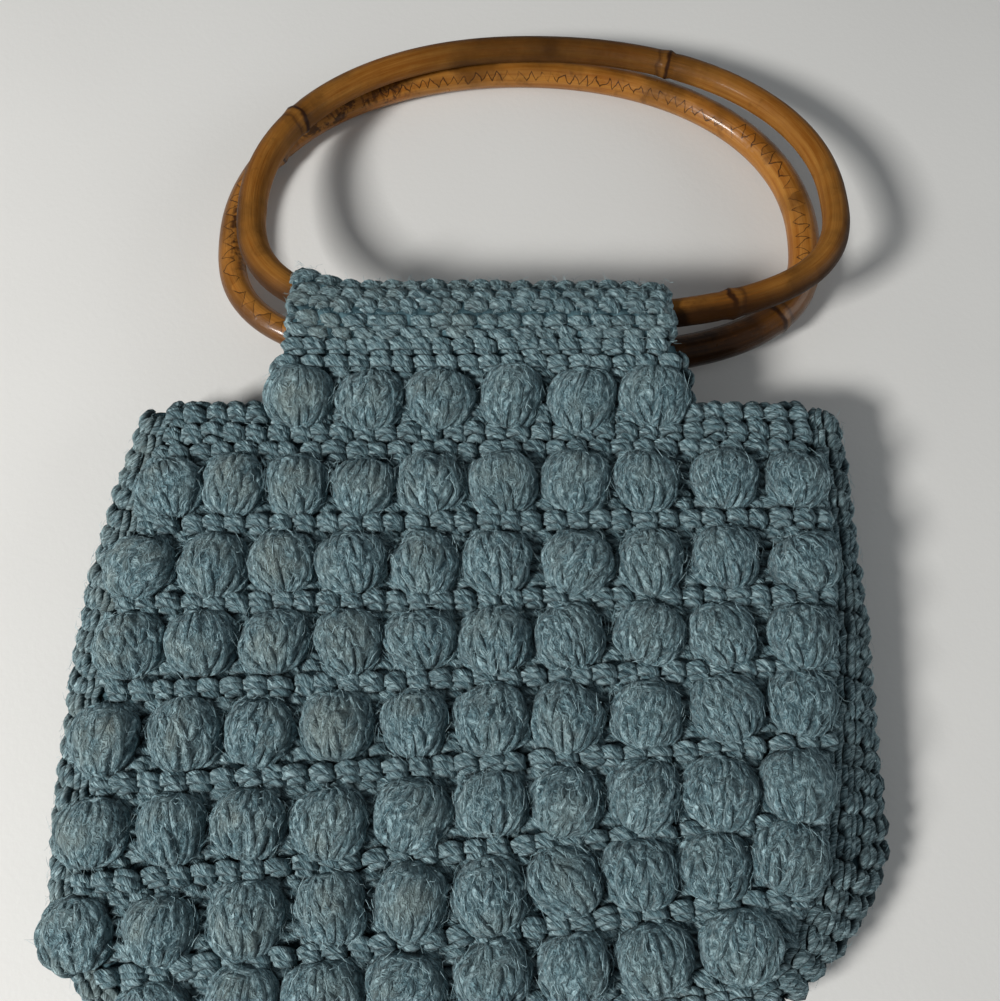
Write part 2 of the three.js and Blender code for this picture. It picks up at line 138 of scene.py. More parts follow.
# The point that the camera looks at, the half width of the floor in metres, and the lights: the way from that point
# and the size in metres, the share of the key light's power, and the colour
AIM = np.array([8.0, -32.5, 32.0])
FLOOR_HALF = 4.0
LIGHTS = {
    "key": ((-0.88, -0.50, 0.80), 0.27, 1.0, (1.0, 0.98, 0.955)),
    "fill": ((1.50, 0.10, 0.55), 0.9, 0.30, (0.95, 0.98, 1.0)),
}

# Where the zero point above lies in the frame
SLEEVE_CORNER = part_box("front_sleeve")[0]
ZERO = np.array([
    SLEEVE_CORNER.x / MM - SLEEVE_LEFT,
    SLEEVE_CORNER.y / MM - HANDLES["front"]["seam"] * NECK_HEIGHT,
    0.0,
])


# Settings


class WoolSettings(bpy.types.PropertyGroup):
    """The yarn and its stitches"""

    strand: FloatProperty(
        name="Strand", description="Thickness of one strand of the yarn",
        default=0.0025, min=0.001, max=0.005, precision=4, unit="LENGTH")
    twist: FloatProperty(
        name="Twist", description="Length over which the plies turn once round each other",
        default=0.0056, min=0.002, max=0.03, precision=4, unit="LENGTH")
    stitch: FloatProperty(
        name="Stitch", description="Width of one plain stitch",
        default=0.0068, min=0.004, max=0.012, precision=4, unit="LENGTH")
    unevenness: FloatProperty(
        name="Unevenness", description="How much stitches and bobbles differ from each other",
        default=1.0, min=0.0, max=2.0, subtype="FACTOR")
    light: FloatVectorProperty(
        name="Light fibres", description="Colour of the raised fibres",
        default=(0.425, 0.597, 0.640), size=3, min=0.0, max=1.0, subtype="COLOR")
    middle: FloatVectorProperty(
        name="Yarn", description="Main colour of the yarn",
        default=(0.138, 0.246, 0.284), size=3, min=0.0, max=1.0, subtype="COLOR")
    dark: FloatVectorProperty(
        name="Dark fibres", description="Colour between the plies",
        default=(0.012, 0.033, 0.043), size=3, min=0.0, max=1.0, subtype="COLOR")
    matted: FloatVectorProperty(
        name="Matted wool", description="Colour where the tops of the bobbles have rubbed and matted",
        default=(0.300, 0.355, 0.325), size=3, min=0.0, max=1.0, subtype="COLOR")
    fluff: IntProperty(
        name="Fluff", description="Number of loose fibres that stand out of the wool",
        default=10000, min=0, max=10500)


class CaneSettings(bpy.types.PropertyGroup):
    """The bamboo of the handles"""

    light: FloatVectorProperty(
        name="Light cane", description="Colour of the palest cane",
        default=(0.45, 0.203, 0.040), size=3, min=0.0, max=1.0, subtype="COLOR")
    middle: FloatVectorProperty(
        name="Cane", description="Main colour of the cane",
        default=(0.285, 0.098, 0.011), size=3, min=0.0, max=1.0, subtype="COLOR")
    scorch: FloatVectorProperty(
        name="Scorch", description="Colour of the scorched marks and dark stretches",
        default=(0.030, 0.010, 0.003), size=3, min=0.0, max=1.0, subtype="COLOR")
    zigzag: FloatProperty(
        name="Zigzag", description="Length of one tooth of the scorched zigzag",
        default=0.0042, min=0.002, max=0.02, precision=4, unit="LENGTH")


class StageSettings(bpy.types.PropertyGroup):
    """Camera, lights and floor"""

    distance: FloatProperty(
        name="Camera distance", description="From the camera to the point that it looks at",
        default=0.300, min=0.1, max=3.0, unit="LENGTH")
    elevation: FloatProperty(
        name="Camera elevation", description="Height of the camera above the horizon",
        default=math.radians(74.0), min=0.0, max=math.pi / 2, subtype="ANGLE")
    lens: FloatProperty(
        name="Focal length", description="Focal length of the camera",
        default=36.0, min=10.0, max=200.0, unit="CAMERA")
    key: FloatProperty(
        name="Key light", description="Power of the large light on the left",
        default=19.1, min=0.0, max=500.0, unit="POWER")
    sky: FloatProperty(
        name="Room light", description="Strength of the light from all round",
        default=0.155, min=0.0, max=5.0, subtype="FACTOR")
    floor: FloatVectorProperty(
        name="Floor", description="Colour of the floor",
        default=(0.725, 0.725, 0.705), size=3, min=0.0, max=1.0, subtype="COLOR")


class BagSettings(bpy.types.PropertyGroup):
    """All settings of the bag"""

    wool: PointerProperty(type=WoolSettings)
    cane: PointerProperty(type=CaneSettings)
    stage: PointerProperty(type=StageSettings)


# Surfaces of the bag


def unit(ways, least=0.0):
    """The same ways with length one. least keeps the length of a way that may vanish from nought."""
    return ways / (np.linalg.norm(ways, axis=-1, keepdims=True) + least)


def lengths_along(line):
    """Length along a line from its start to each of its points."""
    return np.concatenate([[0.0], np.cumsum(np.linalg.norm(np.diff(line, axis=0), axis=-1))])


def outline(column, down):
    return np.interp(down, OUTLINE[:, DOWN], OUTLINE[:, column])


def edges_at(side, down):
    """The left and the right edge of a panel at a share of its height down."""
    return [outline(column, down) * HALF_WIDTH for column in EDGES[side]]


def neck_edges(y):
    """The left and the right edge of the neck at a height above the shoulders."""
    return [np.interp(y / NECK_HEIGHT, NECK_SIDES[:, 0], NECK_SIDES[:, i]) * NECK_HALF_WIDTH for i in (1, 2)]


def row_at(x, down):
    """Height at x of the row at a share of the body's height down."""
    return outline(RISE, down) * x - down * BODY_HEIGHT


def down_at(x, y):
    """How far down the panel a point lies, from its row's slope."""
    down = np.clip(-y / BODY_HEIGHT, 0.0, 1.0)
    for _ in range(3):
        down = np.clip((outline(RISE, down) * x - y) / BODY_HEIGHT, 0.0, 1.0)
    return down


def handle_sizes(side):
    """Places and tilts of a handle with its sleeve, worked out as the frame's are."""
    handle = dict(HANDLES[side])
    handle["bore"] = max(handle["start"], handle["end"]) + FIT
    handle["radius"] = handle["bore"] + SLEEVE_WALL
    back = HANDLES["back"]
    back_radius = max(back["start"], back["end"]) + FIT + SLEEVE_WALL
    back_tip = (back["start"] + back["end"]) / 2
    if side == "back":
        handle["level"] = back_radius + 2 * FIT
        tip = back_tip
    else:
        handle["level"] = 2 * back_radius + 2 * FIT + MOUTH_GAP + handle["radius"]
        tip = 2 * back_tip + (handle["start"] + handle["end"]) / 2
    handle["tilt"] = math.asin((handle["level"] - tip) / (OVAL["upper"] + OVAL["lower"]))
    handle["rise"] = handle["seam"] * NECK_HEIGHT + handle["radius"]
    return handle


def neck_lift(y, side):
    """How far the neck has risen or fallen from its panel towards its sleeve."""
    middle = (FRONT_INSIDE + FRONT_OUTSIDE) / 2 if side == "front" else (BACK_INSIDE + BACK_OUTSIDE) / 2
    return (handle_sizes(side)["level"] - middle) * np.clip(y / NECK_HEIGHT, 0.0, 1.0) ** 1.5


def panel_level(x, y, side):
    """Level of the outer face of a panel."""
    if side == "back":
        return BACK_OUTSIDE + neck_lift(y, side)
    down = down_at(x, y)
    left, right = edges_at(side, down)
    margin = np.minimum(np.minimum(x - left, right - x), (1.0 - down) * BODY_HEIGHT)
    share = np.clip(1.0 - np.maximum(margin, 0.0) / EDGE_CURL, 0.0, 1.0)
    return FRONT_OUTSIDE - EDGE_DROP * share**2 * (y <= 0) + neck_lift(y, side)


def panel_frames(x, y, side):
    """Points on the outer face of a panel with the ways along the row, up the bag and outwards."""
    step = 1.5
    face = FACE[side]
    nought = np.zeros_like(x)
    slope = outline(RISE, down_at(x, y)) * (y <= 0)
    along = unit(np.stack([nought + 2 * step, 2 * step * slope,
                           panel_level(x + step, y, side) - panel_level(x - step, y, side)], -1))
    up = np.stack([nought, nought + 2 * step, panel_level(x, y + step, side) - panel_level(x, y - step, side)], -1)
    out = unit(np.cross(along, up) * face)
    return np.stack([x, y, panel_level(x, y, side)], -1), along, np.cross(out, along) * face, out


def panel_edge(side, points):
    """The edge of a panel from its left shoulder round the bottom to its right shoulder."""
    down = np.linspace(0.0, 1.0, points)
    left, right = edges_at(side, down)
    share = down[1:-1]
    bottom = left[-1] + (right[-1] - left[-1]) * share
    runs = (left, down), (bottom, np.ones_like(share)), (right[::-1], down[::-1])
    return np.concatenate([np.stack([x, row_at(x, level)], -1) for x, level in runs])


def smoothed(line, times):
    """A line with its corners eased, and its ends kept."""
    line = line.copy()
    for _ in range(times):
        line[1:-1] = 0.25 * line[:-2] + 0.5 * line[1:-1] + 0.25 * line[2:]
    return line


def ways_out(line):
    """The ways out of a flat line at each of its points."""
    along = unit(np.gradient(line, axis=0))
    return np.stack([along[:, 1], -along[:, 0]], -1)


class SideStrip:
    """The bowed strip between the edges of the two panels."""

    def __init__(self, points=240):
        edges = [panel_edge(side, points) for side in ("front", "back")]
        self.lines = edges + [ways_out(smoothed(edge, 12)) for edge in edges]
        self.length = lengths_along(sum(edges) / 2)

    def point(self, length, angle, depth=0.0):
        """A point of the strip: length along the edge, angle from a quarter turn at the front to minus that at the
        back, and depth under its outer face."""
        share = ((1.0 - np.sin(angle)) / 2)[..., None]
        front, back, front_out, back_out = [
            np.stack([np.interp(length, self.length, line[:, i]) for i in range(2)], -1) for line in self.lines]
        out = unit(front_out * (1 - share) + back_out * share)
        high = FRONT_OUTSIDE - EDGE_DROP
        reach = (FIT + (SIDE_BULGE + FABRIC - depth) * np.cos(angle))[..., None]
        flat = front * (1 - share) + back * share + out * reach
        z = (high + BACK_OUTSIDE) / 2 + ((high - BACK_OUTSIDE) / 2 - depth) * np.sin(angle)
        return np.concatenate([flat, z[..., None]], -1)

    def frames(self, length, angle):
        """Points on the strip's outer face with the ways along it, up round it and outwards."""
        along = unit(self.point(length + 0.8, angle) - self.point(length - 0.8, angle))
        up = self.point(length, angle + 0.05) - self.point(length, angle - 0.05)
        out = unit(np.cross(along, up))
        return self.point(length, angle), along, np.cross(out, along), out


def reach(handle, side):
    """How far a handle's middle line reaches on the side that the sign of side tells."""
    return OVAL["half_width"] * np.where(side < 0, handle["left"], handle["right"])


def bar_at(handle, x):
    """Height and slope of the middle of a handle's lower bar, in the handle's own plane."""
    n = OVAL["lower_round"]
    half_width = reach(handle, x)
    share = np.abs(x) / half_width
    left = 1.0 - share**n
    y = OVAL["lower"] * (1.0 - left ** (1.0 / n)) + handle["turn"] * x
    steep = OVAL["lower"] / half_width * (share / left ** (1.0 / n)) ** (n - 1.0)
    return y, np.sign(x) * steep + handle["turn"]


def seated(points, handle):
    """Points from a handle's own plane in their place in the bag."""
    cos, sin = math.cos(handle["tilt"]), math.sin(handle["tilt"])
    turned = np.stack([points[..., 0], points[..., 1] * cos + points[..., 2] * sin,
                       points[..., 2] * cos - points[..., 1] * sin], -1)
    return turned + np.array([handle["across"], handle["rise"], handle["level"]])


def sleeve_point(handle, x, girth, radius):
    """A point on a sleeve: x along it, and girth from the seam at its lower edge over its upper face."""
    bar, slope = bar_at(handle, x)
    high = np.maximum(bar + handle["bore"] * (np.hypot(1.0, slope) - 1.0), SLEEVE_SLACK)
    quarter = math.pi * radius / 2
    total = 4 * quarter + 2 * high
    girth = np.mod(girth, total)
    # The flat stretches over the upper face and back under the lower one, as far as the girth has passed them
    over, under = np.clip(girth - quarter, 0.0, high), np.clip(girth - 3 * quarter - high, 0.0, high)
    angle = math.pi - (girth - over - under) / radius
    return np.stack([x, over - under + radius * np.cos(angle), radius * np.sin(angle)], -1), total


def sleeve_radius(handle, x, under):
    """Half thickness of a sleeve at a depth under its outer face. It draws in at its mouths."""
    away = np.minimum(x + handle["across"] - SLEEVE_LEFT, SLEEVE_RIGHT - x - handle["across"])
    return handle["radius"] - under - MOUTH_DRAW * np.exp(-((away / MOUTH_LENGTH) ** 2))


def oval_line(handle, count):
    """Points evenly spaced round a handle's middle line from the middle of its lower bar, and its length."""
    t = np.linspace(-math.pi / 2, 1.5 * math.pi, 6001)
    cos, sin = np.cos(t), np.sin(t)
    power = np.where(sin > 0, 2.0 / OVAL["upper_round"], 2.0 / OVAL["lower_round"])
    height = np.where(sin > 0, OVAL["upper"], OVAL["lower"])
    dense = np.stack([reach(handle, cos) * np.sign(cos) * np.abs(cos) ** power,
                      height * np.sign(sin) * np.abs(sin) ** power + OVAL["lower"]], -1)
    run = lengths_along(dense)
    even = np.linspace(0.0, run[-1], count, endpoint=False)
    return np.stack([np.interp(even, run, dense[:, i]) for i in range(2)], -1), run[-1]


# Meshes


def finish_mesh(name, points, faces, uv, material, marks=None):
    """A smooth mesh piece from points in millimetres, faces of three or four corners and a (u, v) for each corner.
    marks are values that the material reads, one for each point."""
    mesh = bpy.data.meshes.new(name)
    points = np.maximum(points, (-1000.0, -1000.0, 0.0))
    sizes = np.concatenate([np.full(len(f), f.shape[1]) for f in faces])
    corners = np.concatenate([f.reshape(-1) for f in faces])
    mesh.vertices.add(len(points))
    mesh.vertices.foreach_set("co", ((points + ZERO) * MM).astype(np.float32).reshape(-1))
    mesh.loops.add(len(corners))
    mesh.loops.foreach_set("vertex_index", corners.astype(np.int32))
    mesh.polygons.add(len(sizes))
    mesh.polygons.foreach_set("loop_start", np.concatenate([[0], np.cumsum(sizes)[:-1]]).astype(np.int32))
    mesh.polygons.foreach_set("use_smooth", np.ones(len(sizes), bool))
    layer = mesh.uv_layers.new(name="UVMap")
    layer.data.foreach_set("uv", np.concatenate([u.reshape(-1) for u in uv]).astype(np.float32))
    for mark, values in (marks or {}).items():
        mesh.attributes.new(mark, "FLOAT", "POINT").data.foreach_set("value", values.astype(np.float32))
    mesh.update(calc_edges=True)
    mesh.validate()
    piece = bpy.data.objects.new(name, mesh)
    bpy.context.scene.collection.objects.link(piece)
    mesh.materials.append(material)
    return piece


def tube_cells(rings, sides, closed=False):
    """Faces of a tube whose points run ring by ring, and the steps along and round it of each face's corners. The
    last ring of a closed tube joins its first."""
    i, j = [steps.reshape(-1, 1) for steps in
            np.meshgrid(np.arange(rings if closed else rings - 1), np.arange(sides), indexing="ij")]
    corners = np.stack([i + [0, 1, 1, 0], j + [0, 0, 1, 1]], -1)
    return corners[..., 0] % rings * sides + corners[..., 1] % sides, corners


class Spool:
    """Collects strands of yarn and winds them off as one mesh of closed tubes."""

    def __init__(self, seed):
        self.random = np.random.default_rng(seed)
        self.batches = []

    def add(self, paths, outs, radii, sides, worn_and_lit=0.0):
        """paths and outs are (strands, points, 3), radii and worn (strands, points). No path sinks below the
        surface that the bag lies on."""
        radii = np.broadcast_to(radii, paths.shape[:2])
        paths = paths.copy()
        paths[..., 2] = np.maximum(paths[..., 2], radii + 0.1)
        self.batches.append((paths, np.broadcast_to(outs, paths.shape), radii, sides, worn_and_lit))

    def wind(self, name, material):
        points, faces, uvs = [], [], []
        marks = {"tone": [], "worn_and_lit": [], "open": []}
        start = 0
        for paths, outs, radii, sides, worn_and_lit in self.batches:
            count, steps = paths.shape[:2]
            along = unit(np.gradient(paths, axis=1), 1e-9)
            across = unit(np.cross(along, outs), 1e-9)
            turn = 2 * math.pi * np.arange(sides) / sides
            rim = (across[:, :, None] * np.cos(turn)[:, None]
                   + np.cross(across, along)[:, :, None] * np.sin(turn)[:, None])
            tube = paths[:, :, None] + rim * radii[:, :, None, None]
            ends = [0, -1]
            tips = paths[:, ends] + along[:, ends] * radii[:, ends, None] * np.array([-0.6, 0.6])[:, None]
            block = np.concatenate([tube.reshape(count, -1, 3), tips], 1)
            size = block.shape[1]
            base = start + size * np.arange(count)[:, None, None]
            quad, corners = tube_cells(steps, sides)
            j = np.arange(sides)
            k = (j + 1) % sides
            last, tip = (steps - 1) * sides, np.full(sides, steps * sides)
            tri = np.concatenate([np.stack([k, tip, j], -1), np.stack([last + j, tip + 1, last + k], -1)])
            points.append(block.reshape(-1, 3))
            faces += [(base + quad).reshape(-1, 4), (base + tri).reshape(-1, 3)]
            # u is the length along the strand, from a start of its own, and v the share of the way round it.
            run = np.cumsum(np.linalg.norm(np.diff(paths, axis=1), axis=-1), 1)
            run = (np.concatenate([np.zeros((count, 1)), run], 1) + self.random.uniform(0, 40, (count, 1))) * MM
            v0, v1 = j / sides, (j + 1) / sides
            end_u = np.repeat(run[:, ends], 3 * sides, 1).reshape(count, -1, 3)
            end_v = np.concatenate([np.stack([v1, (v0 + v1) / 2, v0], -1), np.stack([v0, (v0 + v1) / 2, v1], -1)])
            for u, v in ((run[:, corners[..., 0]], corners[..., 1] / sides), (end_u, end_v)):
                uvs.append(np.stack(np.broadcast_arrays(u, v), -1))
            worn_and_lit = np.broadcast_to(worn_and_lit, (count, steps))
            marks["tone"].append(np.repeat(self.random.uniform(0, 1, count), size))
            marks["worn_and_lit"].append(np.concatenate([np.repeat(worn_and_lit, sides, 1), worn_and_lit[:, ends]], 1).reshape(-1))
            # open is how far each point of a strand faces outwards, and low at its tips; the wool material paints
            # shade where it is low.
            marks["open"].append(np.tile(np.concatenate([np.tile(np.sin(turn), steps), [-0.2, -0.2]]), count))
            start += count * size
        marks = {mark: np.concatenate(values) for mark, values in marks.items()}
        return finish_mesh(name, np.concatenate(points), faces, uvs, material, marks)


def slab(name, outer, inner, material):
    """A closed sheet between two grids of points, (rows, columns, 3) each."""
    rows, columns = outer.shape[:2]
    grid = np.arange(rows * columns).reshape(rows, columns)
    back = grid + rows * columns

    def cells(g):
        return np.stack([g[:-1, :-1], g[:-1, 1:], g[1:, 1:], g[1:, :-1]], -1).reshape(-1, 4)

    rim = np.concatenate([grid[0, :], grid[1:, -1], grid[-1, -2::-1], grid[-2:0:-1, 0]])
    following = np.roll(rim, -1)
    sides = np.stack([following, rim, rim + rows * columns, following + rows * columns], -1)
    faces = np.concatenate([cells(grid), cells(back)[:, ::-1], sides])
    points = np.concatenate([outer.reshape(-1, 3), inner.reshape(-1, 3)])
    lengths = [lengths_along(line) * MM for line in (outer[rows // 2], outer[:, columns // 2])]
    flat = np.stack(np.meshgrid(*lengths), -1).reshape(-1, 2)
    uv = np.concatenate([flat, flat])[faces]
    return finish_mesh(name, points, [faces], [uv], material)


def dressed(piece, material_slot, *nodes):
    """Seats a piece on the bag, in place of the frame's nodes where any are given."""
    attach(piece, "root")
    if nodes:
        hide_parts(*nodes)


# Materials


class Value:
    """A value among a material's nodes, which can be reckoned with like a number."""

    def __init__(self, shader, socket):
        self.shader = shader
        self.socket = socket

    def __add__(self, other):
        return self.shader.math("ADD", self, other)

    def __sub__(self, other):
        return self.shader.math("SUBTRACT", self, other)

    def __mul__(self, other):
        return self.shader.math("MULTIPLY", self, other)

    def __truediv__(self, other):
        return self.shader.math("DIVIDE", self, other)


class Shader:
    """A new material, and short ways to add its nodes."""

    def __init__(self, name):
        self.material = bpy.data.materials.new(name)
        self.material.use_nodes = True
        self.tree = self.material.node_tree

    def feed(self, socket, value):
        if isinstance(value, Value):
            self.tree.links.new(value.socket, socket)
        elif socket.type == "RGBA":
            socket.default_value = (*value, 1.0)
        else:
            socket.default_value = value

    def node(self, kind, settings=None, output=0, **inputs):
        """The output of a new node with the given settings and inputs."""
        made = self.tree.nodes.new(kind)
        for key, value in (settings or {}).items():
            setattr(made, key, value)
        for key, value in inputs.items():
            self.feed(made.inputs[key.replace("_", " ")], value)
        return Value(self, made.outputs[output])

    def parts(self, vector):
        """The three parts of a vector."""
        made = self.tree.nodes.new("ShaderNodeSeparateXYZ")
        self.feed(made.inputs[0], vector)
        return [Value(self, output) for output in made.outputs]

    def vector(self, x, y, z=0.0):
        return self.node("ShaderNodeCombineXYZ", X=x, Y=y, Z=z)

    def uv(self):
        return self.parts(self.node("ShaderNodeUVMap"))[:2]

    def place(self):
        return self.node("ShaderNodeTexCoord", output="Object")

    def mark(self, name):
        return self.node("ShaderNodeAttribute", {"attribute_name": name}, "Fac")

    def math(self, operation, *values):
        made = self.tree.nodes.new("ShaderNodeMath")
        made.operation = operation
        for socket, value in zip(made.inputs, values):
            self.feed(socket, value)
        return Value(self, made.outputs[0])

    def blend(self, factor, low, high):
        """A colour between low and high."""
        made = self.tree.nodes.new("ShaderNodeMix")
        made.data_type = "RGBA"
        self.feed(made.inputs["Factor"], factor)
        for key, value in (("A", low), ("B", high)):
            self.feed(next(socket for socket in made.inputs if socket.name == key and socket.type == "RGBA"), value)
        return Value(self, next(socket for socket in made.outputs if socket.type == "RGBA"))

    def noise(self, vector, scale, detail=2.0, roughness=0.5):
        return self.node("ShaderNodeTexNoise", Vector=vector, Scale=scale, Detail=detail, Roughness=roughness)

    def between(self, value, low, high, to_low=0.0, to_high=1.0):
        """The value spread from one range to another, and held at its ends."""
        return self.node("ShaderNodeMapRange", {"clamp": True}, Value=value, From_Min=low, From_Max=high,
                         To_Min=to_low, To_Max=to_high)

    def band(self, value, centre, half, soft):
        """One inside a band round centre, nought outside, with soft edges."""
        return self.between(self.math("ABSOLUTE", value - centre), half, half + soft, 1.0, 0.0)

    def bump(self, strength, distance, height):
        return self.node("ShaderNodeBump", Strength=strength, Distance=distance, Height=height)

    def surface(self, **inputs):
        """Feeds the inputs of the surface and gives the finished material."""
        for key, value in inputs.items():
            self.feed(self.tree.nodes["Principled BSDF"].inputs[key.replace("_", " ")], value)
        return self.material


def shade(colour, share):
    return tuple(share * part for part in colour)


def wool_shader(name, wool):
    """Wool with its fibres: plies twisted round each other, or felted where they have matted together."""
    felted = name == "wool_felted"
    s = Shader(name)
    along, around = s.uv()
    tone, worn_and_lit, openly = s.mark("tone"), s.mark("worn_and_lit"), s.mark("open")
    place = s.place()
    patches = s.noise(place, 70.0, 3.0, 0.6)
    specks = s.noise(place, 1500.0, 2.0, 0.7)
    spiral = around + along / wool.twist
    ply = s.math("COSINE", spiral * (4 * math.pi))
    lane = around + (s.noise(place, 260.0) - 0.5) * 0.55 if felted else spiral
    fibres = s.noise(s.vector(lane * 12.0, along * 420.0, tone * 60.0), 1.0, 3.0, 0.66)
    fibres = s.between(fibres, 0.38, 0.62)
    # The ply wave paints shade into the grooves between the two plies, as well as bumping them.
    bright = fibres * (0.52 if felted else 0.66) + ply * (0.05 if felted else 0.17) + (0.10 if felted else 0.08)
    bright = bright + tone * 0.16 + (specks - 0.5) * 0.55
    deep = s.blend(s.between(bright, 0.0, 0.42), wool.dark, wool.middle)
    colour = s.blend(s.between(bright, 0.40, 0.95), deep, wool.light)
    # Patches of a lighter matted grey where the wool rises highest on the bobbles, and on the side strip and the
    # sleeves: rubbed wool with painted highlight. The highlight is painted stronger on the left side of the bag,
    # where the key light falls.
    matted = s.between(patches, 0.42, 0.66) * s.between(worn_and_lit, 0.35, 0.9, 0.0, 0.75 if felted else 0.45)
    colour = s.blend(matted * s.between(s.parts(place)[0], -0.10, 0.06, 1.0, 0.35), colour, wool.matted)
    # Painted shade: the sides of the strands that face away from the outside, and the low sides of the felted
    # balls, are painted in the dark fibre colour.
    colour = s.blend(s.between(openly + fibres * 0.35, -0.15, 1.05, 0.92, 0.0), colour, wool.dark)
    height = ply * (0.10 if felted else 0.40) + fibres * 0.9 + specks * 0.45
    return s.surface(Base_Color=colour, Normal=s.bump(1.0, 0.0009 if felted else 0.0008, height), Roughness=0.9,
                     Specular_IOR_Level=0.18, Sheen_Weight=0.22, Sheen_Roughness=0.5, Sheen_Tint=(0.70, 0.84, 0.88))


def ground_shader(name, wool):
    """The plain cloth under the stitches, which shows inside the bag and deep between the bobbles."""
    s = Shader(name)
    u, v = s.uv()
    lump = [s.math("ABSOLUTE", s.math("SINE", way * (math.pi / step)))
            for way, step in ((u, wool.stitch), (v, 0.9 * wool.stitch))]
    lump = lump[0] * lump[1]
    hairs = s.noise(s.place(), 700.0, 3.0, 0.65)
    # Painted shade: the cloth is coloured between the dark fibre colour and the yarn's main one, darkest between
    # its lumps, for the shade inside the bag and deep between the bobbles.
    return s.surface(Base_Color=s.blend(lump * 0.6 + hairs * 0.3, wool.dark, wool.middle),
                     Normal=s.bump(1.0, 0.0012, lump + hairs * 0.5), Roughness=0.95, Specular_IOR_Level=0.1)


def fluff_shader(name, wool):
    s = Shader(name)
    return s.surface(Base_Color=s.blend(s.mark("tone"), wool.middle, shade(wool.light, 1.25)), Roughness=0.8)


WOOL_SHADERS = {"wool_yarn": wool_shader, "wool_felted": wool_shader, "wool_ground": ground_shader,
                "wool_fluff": fluff_shader}


def wool_material(name, wool):
    return bpy.data.materials.get(name) or WOOL_SHADERS[name](name, wool)


def cane_shader(side, cane, length):
    """Lacquered bamboo: its grain, growth rings and scorched marks. length is that of the cane in metres."""
    s = Shader("bamboo_" + side)
    front = side == "front"
    along, around = s.uv()
    place = s.place()
    # The front handle has darkened more than the back one.
    light, middle = [shade(colour, 0.70 if front else 0.92) for colour in (cane.light, cane.middle)]
    brown = shade(middle, 0.34)
    grain = s.noise(s.vector(around * 22.0, along * 22.0), 1.0, 4.0, 0.62)
    fine = s.noise(s.vector(around * 110.0, along * 90.0), 1.0)
    clouds = s.noise(place, 32.0, 4.0, 0.6)
    blots = s.noise(place, 130.0, 3.0, 0.65)
    pale = grain * 0.9 + clouds * 0.8 + (fine - 0.5) * 0.45
    colour = s.blend(s.between(pale, 0.66, 1.06), middle, light)
    colour = s.blend(s.between(clouds, 0.50, 0.68, 0.0, 0.70), colour, brown)
    colour = s.blend(s.between(blots, 0.60, 0.72, 0.0, 0.45), colour, brown)
    # The outer side of the bend is painted darker than the inner one, as painted shade.
    outer = s.math("COSINE", (around + 0.04) * (2 * math.pi)) + (clouds - 0.5) * 0.8
    colour = s.blend(s.between(outer, -0.10, 0.85, 0.0, 0.95 if front else 0.7), colour, shade(brown, 0.5))
    # The growth rings are dark lines, browned unevenly on both sides.
    wobble = (s.noise(place, 120.0, 3.0) - 0.5) * 0.005
    for ring in HANDLES[side]["rings"]:
        away = along - ring * length + wobble
        ragged = s.between(s.math("ABSOLUTE", away), 0.001, 0.014, 0.8, 0.0) * s.between(grain, 0.35, 0.6)
        colour = s.blend(ragged, colour, brown)
        # Each line: its place, half width and softness along the cane, its strength and its colour.
        for line, half, soft, strength, mark in (
            (0.0, 0.0003, 0.0007, 1.0, cane.scorch),
            (0.0016, 0.0004, 0.0005, 0.3, light),
            (0.0036, 0.0002, 0.0007, 0.5, cane.scorch),
        ):
            colour = s.blend(s.band(away, line, half, soft) * strength, colour, mark)
    # Dark stretches: on the back cane from the middle of its lower bar to the right of its sleeve, scorched cane
    # with painted shade from the neck; on the front one, a darker stretch round its top, and painted shade on the
    # outer side of its lower bar beside the sleeve.
    share = along / length
    if front:
        below = s.band(share, 0.09, 0.03, 0.05) * s.between(outer, -0.4, 0.6, 0.1, 1.6)
        dark = s.math("MAXIMUM", s.band(share, 0.50, 0.05, 0.06), below) * 0.7
    else:
        colour = scorched_zigzag(s, colour, along, around, share, place, cane)
        dark = s.between(share, 0.152, 0.19, 1.0, 0.0)
    colour = s.blend(dark * s.between(blots + grain, 0.70, 1.05, 0.80, 1.0), colour, shade(cane.middle, 0.085))
    dull = 0.16 if front else 0.0
    return s.surface(
        Base_Color=colour, Normal=s.bump(0.7, 0.0006, grain * 0.6 + fine * 0.3 + blots),
        Roughness=s.between(blots, 0.3, 0.7, 0.26 + dull, 0.46 + dull),
        Specular_IOR_Level=0.10 if front else 0.18, Coat_Weight=0.03 if front else 0.26, Coat_Roughness=0.14)


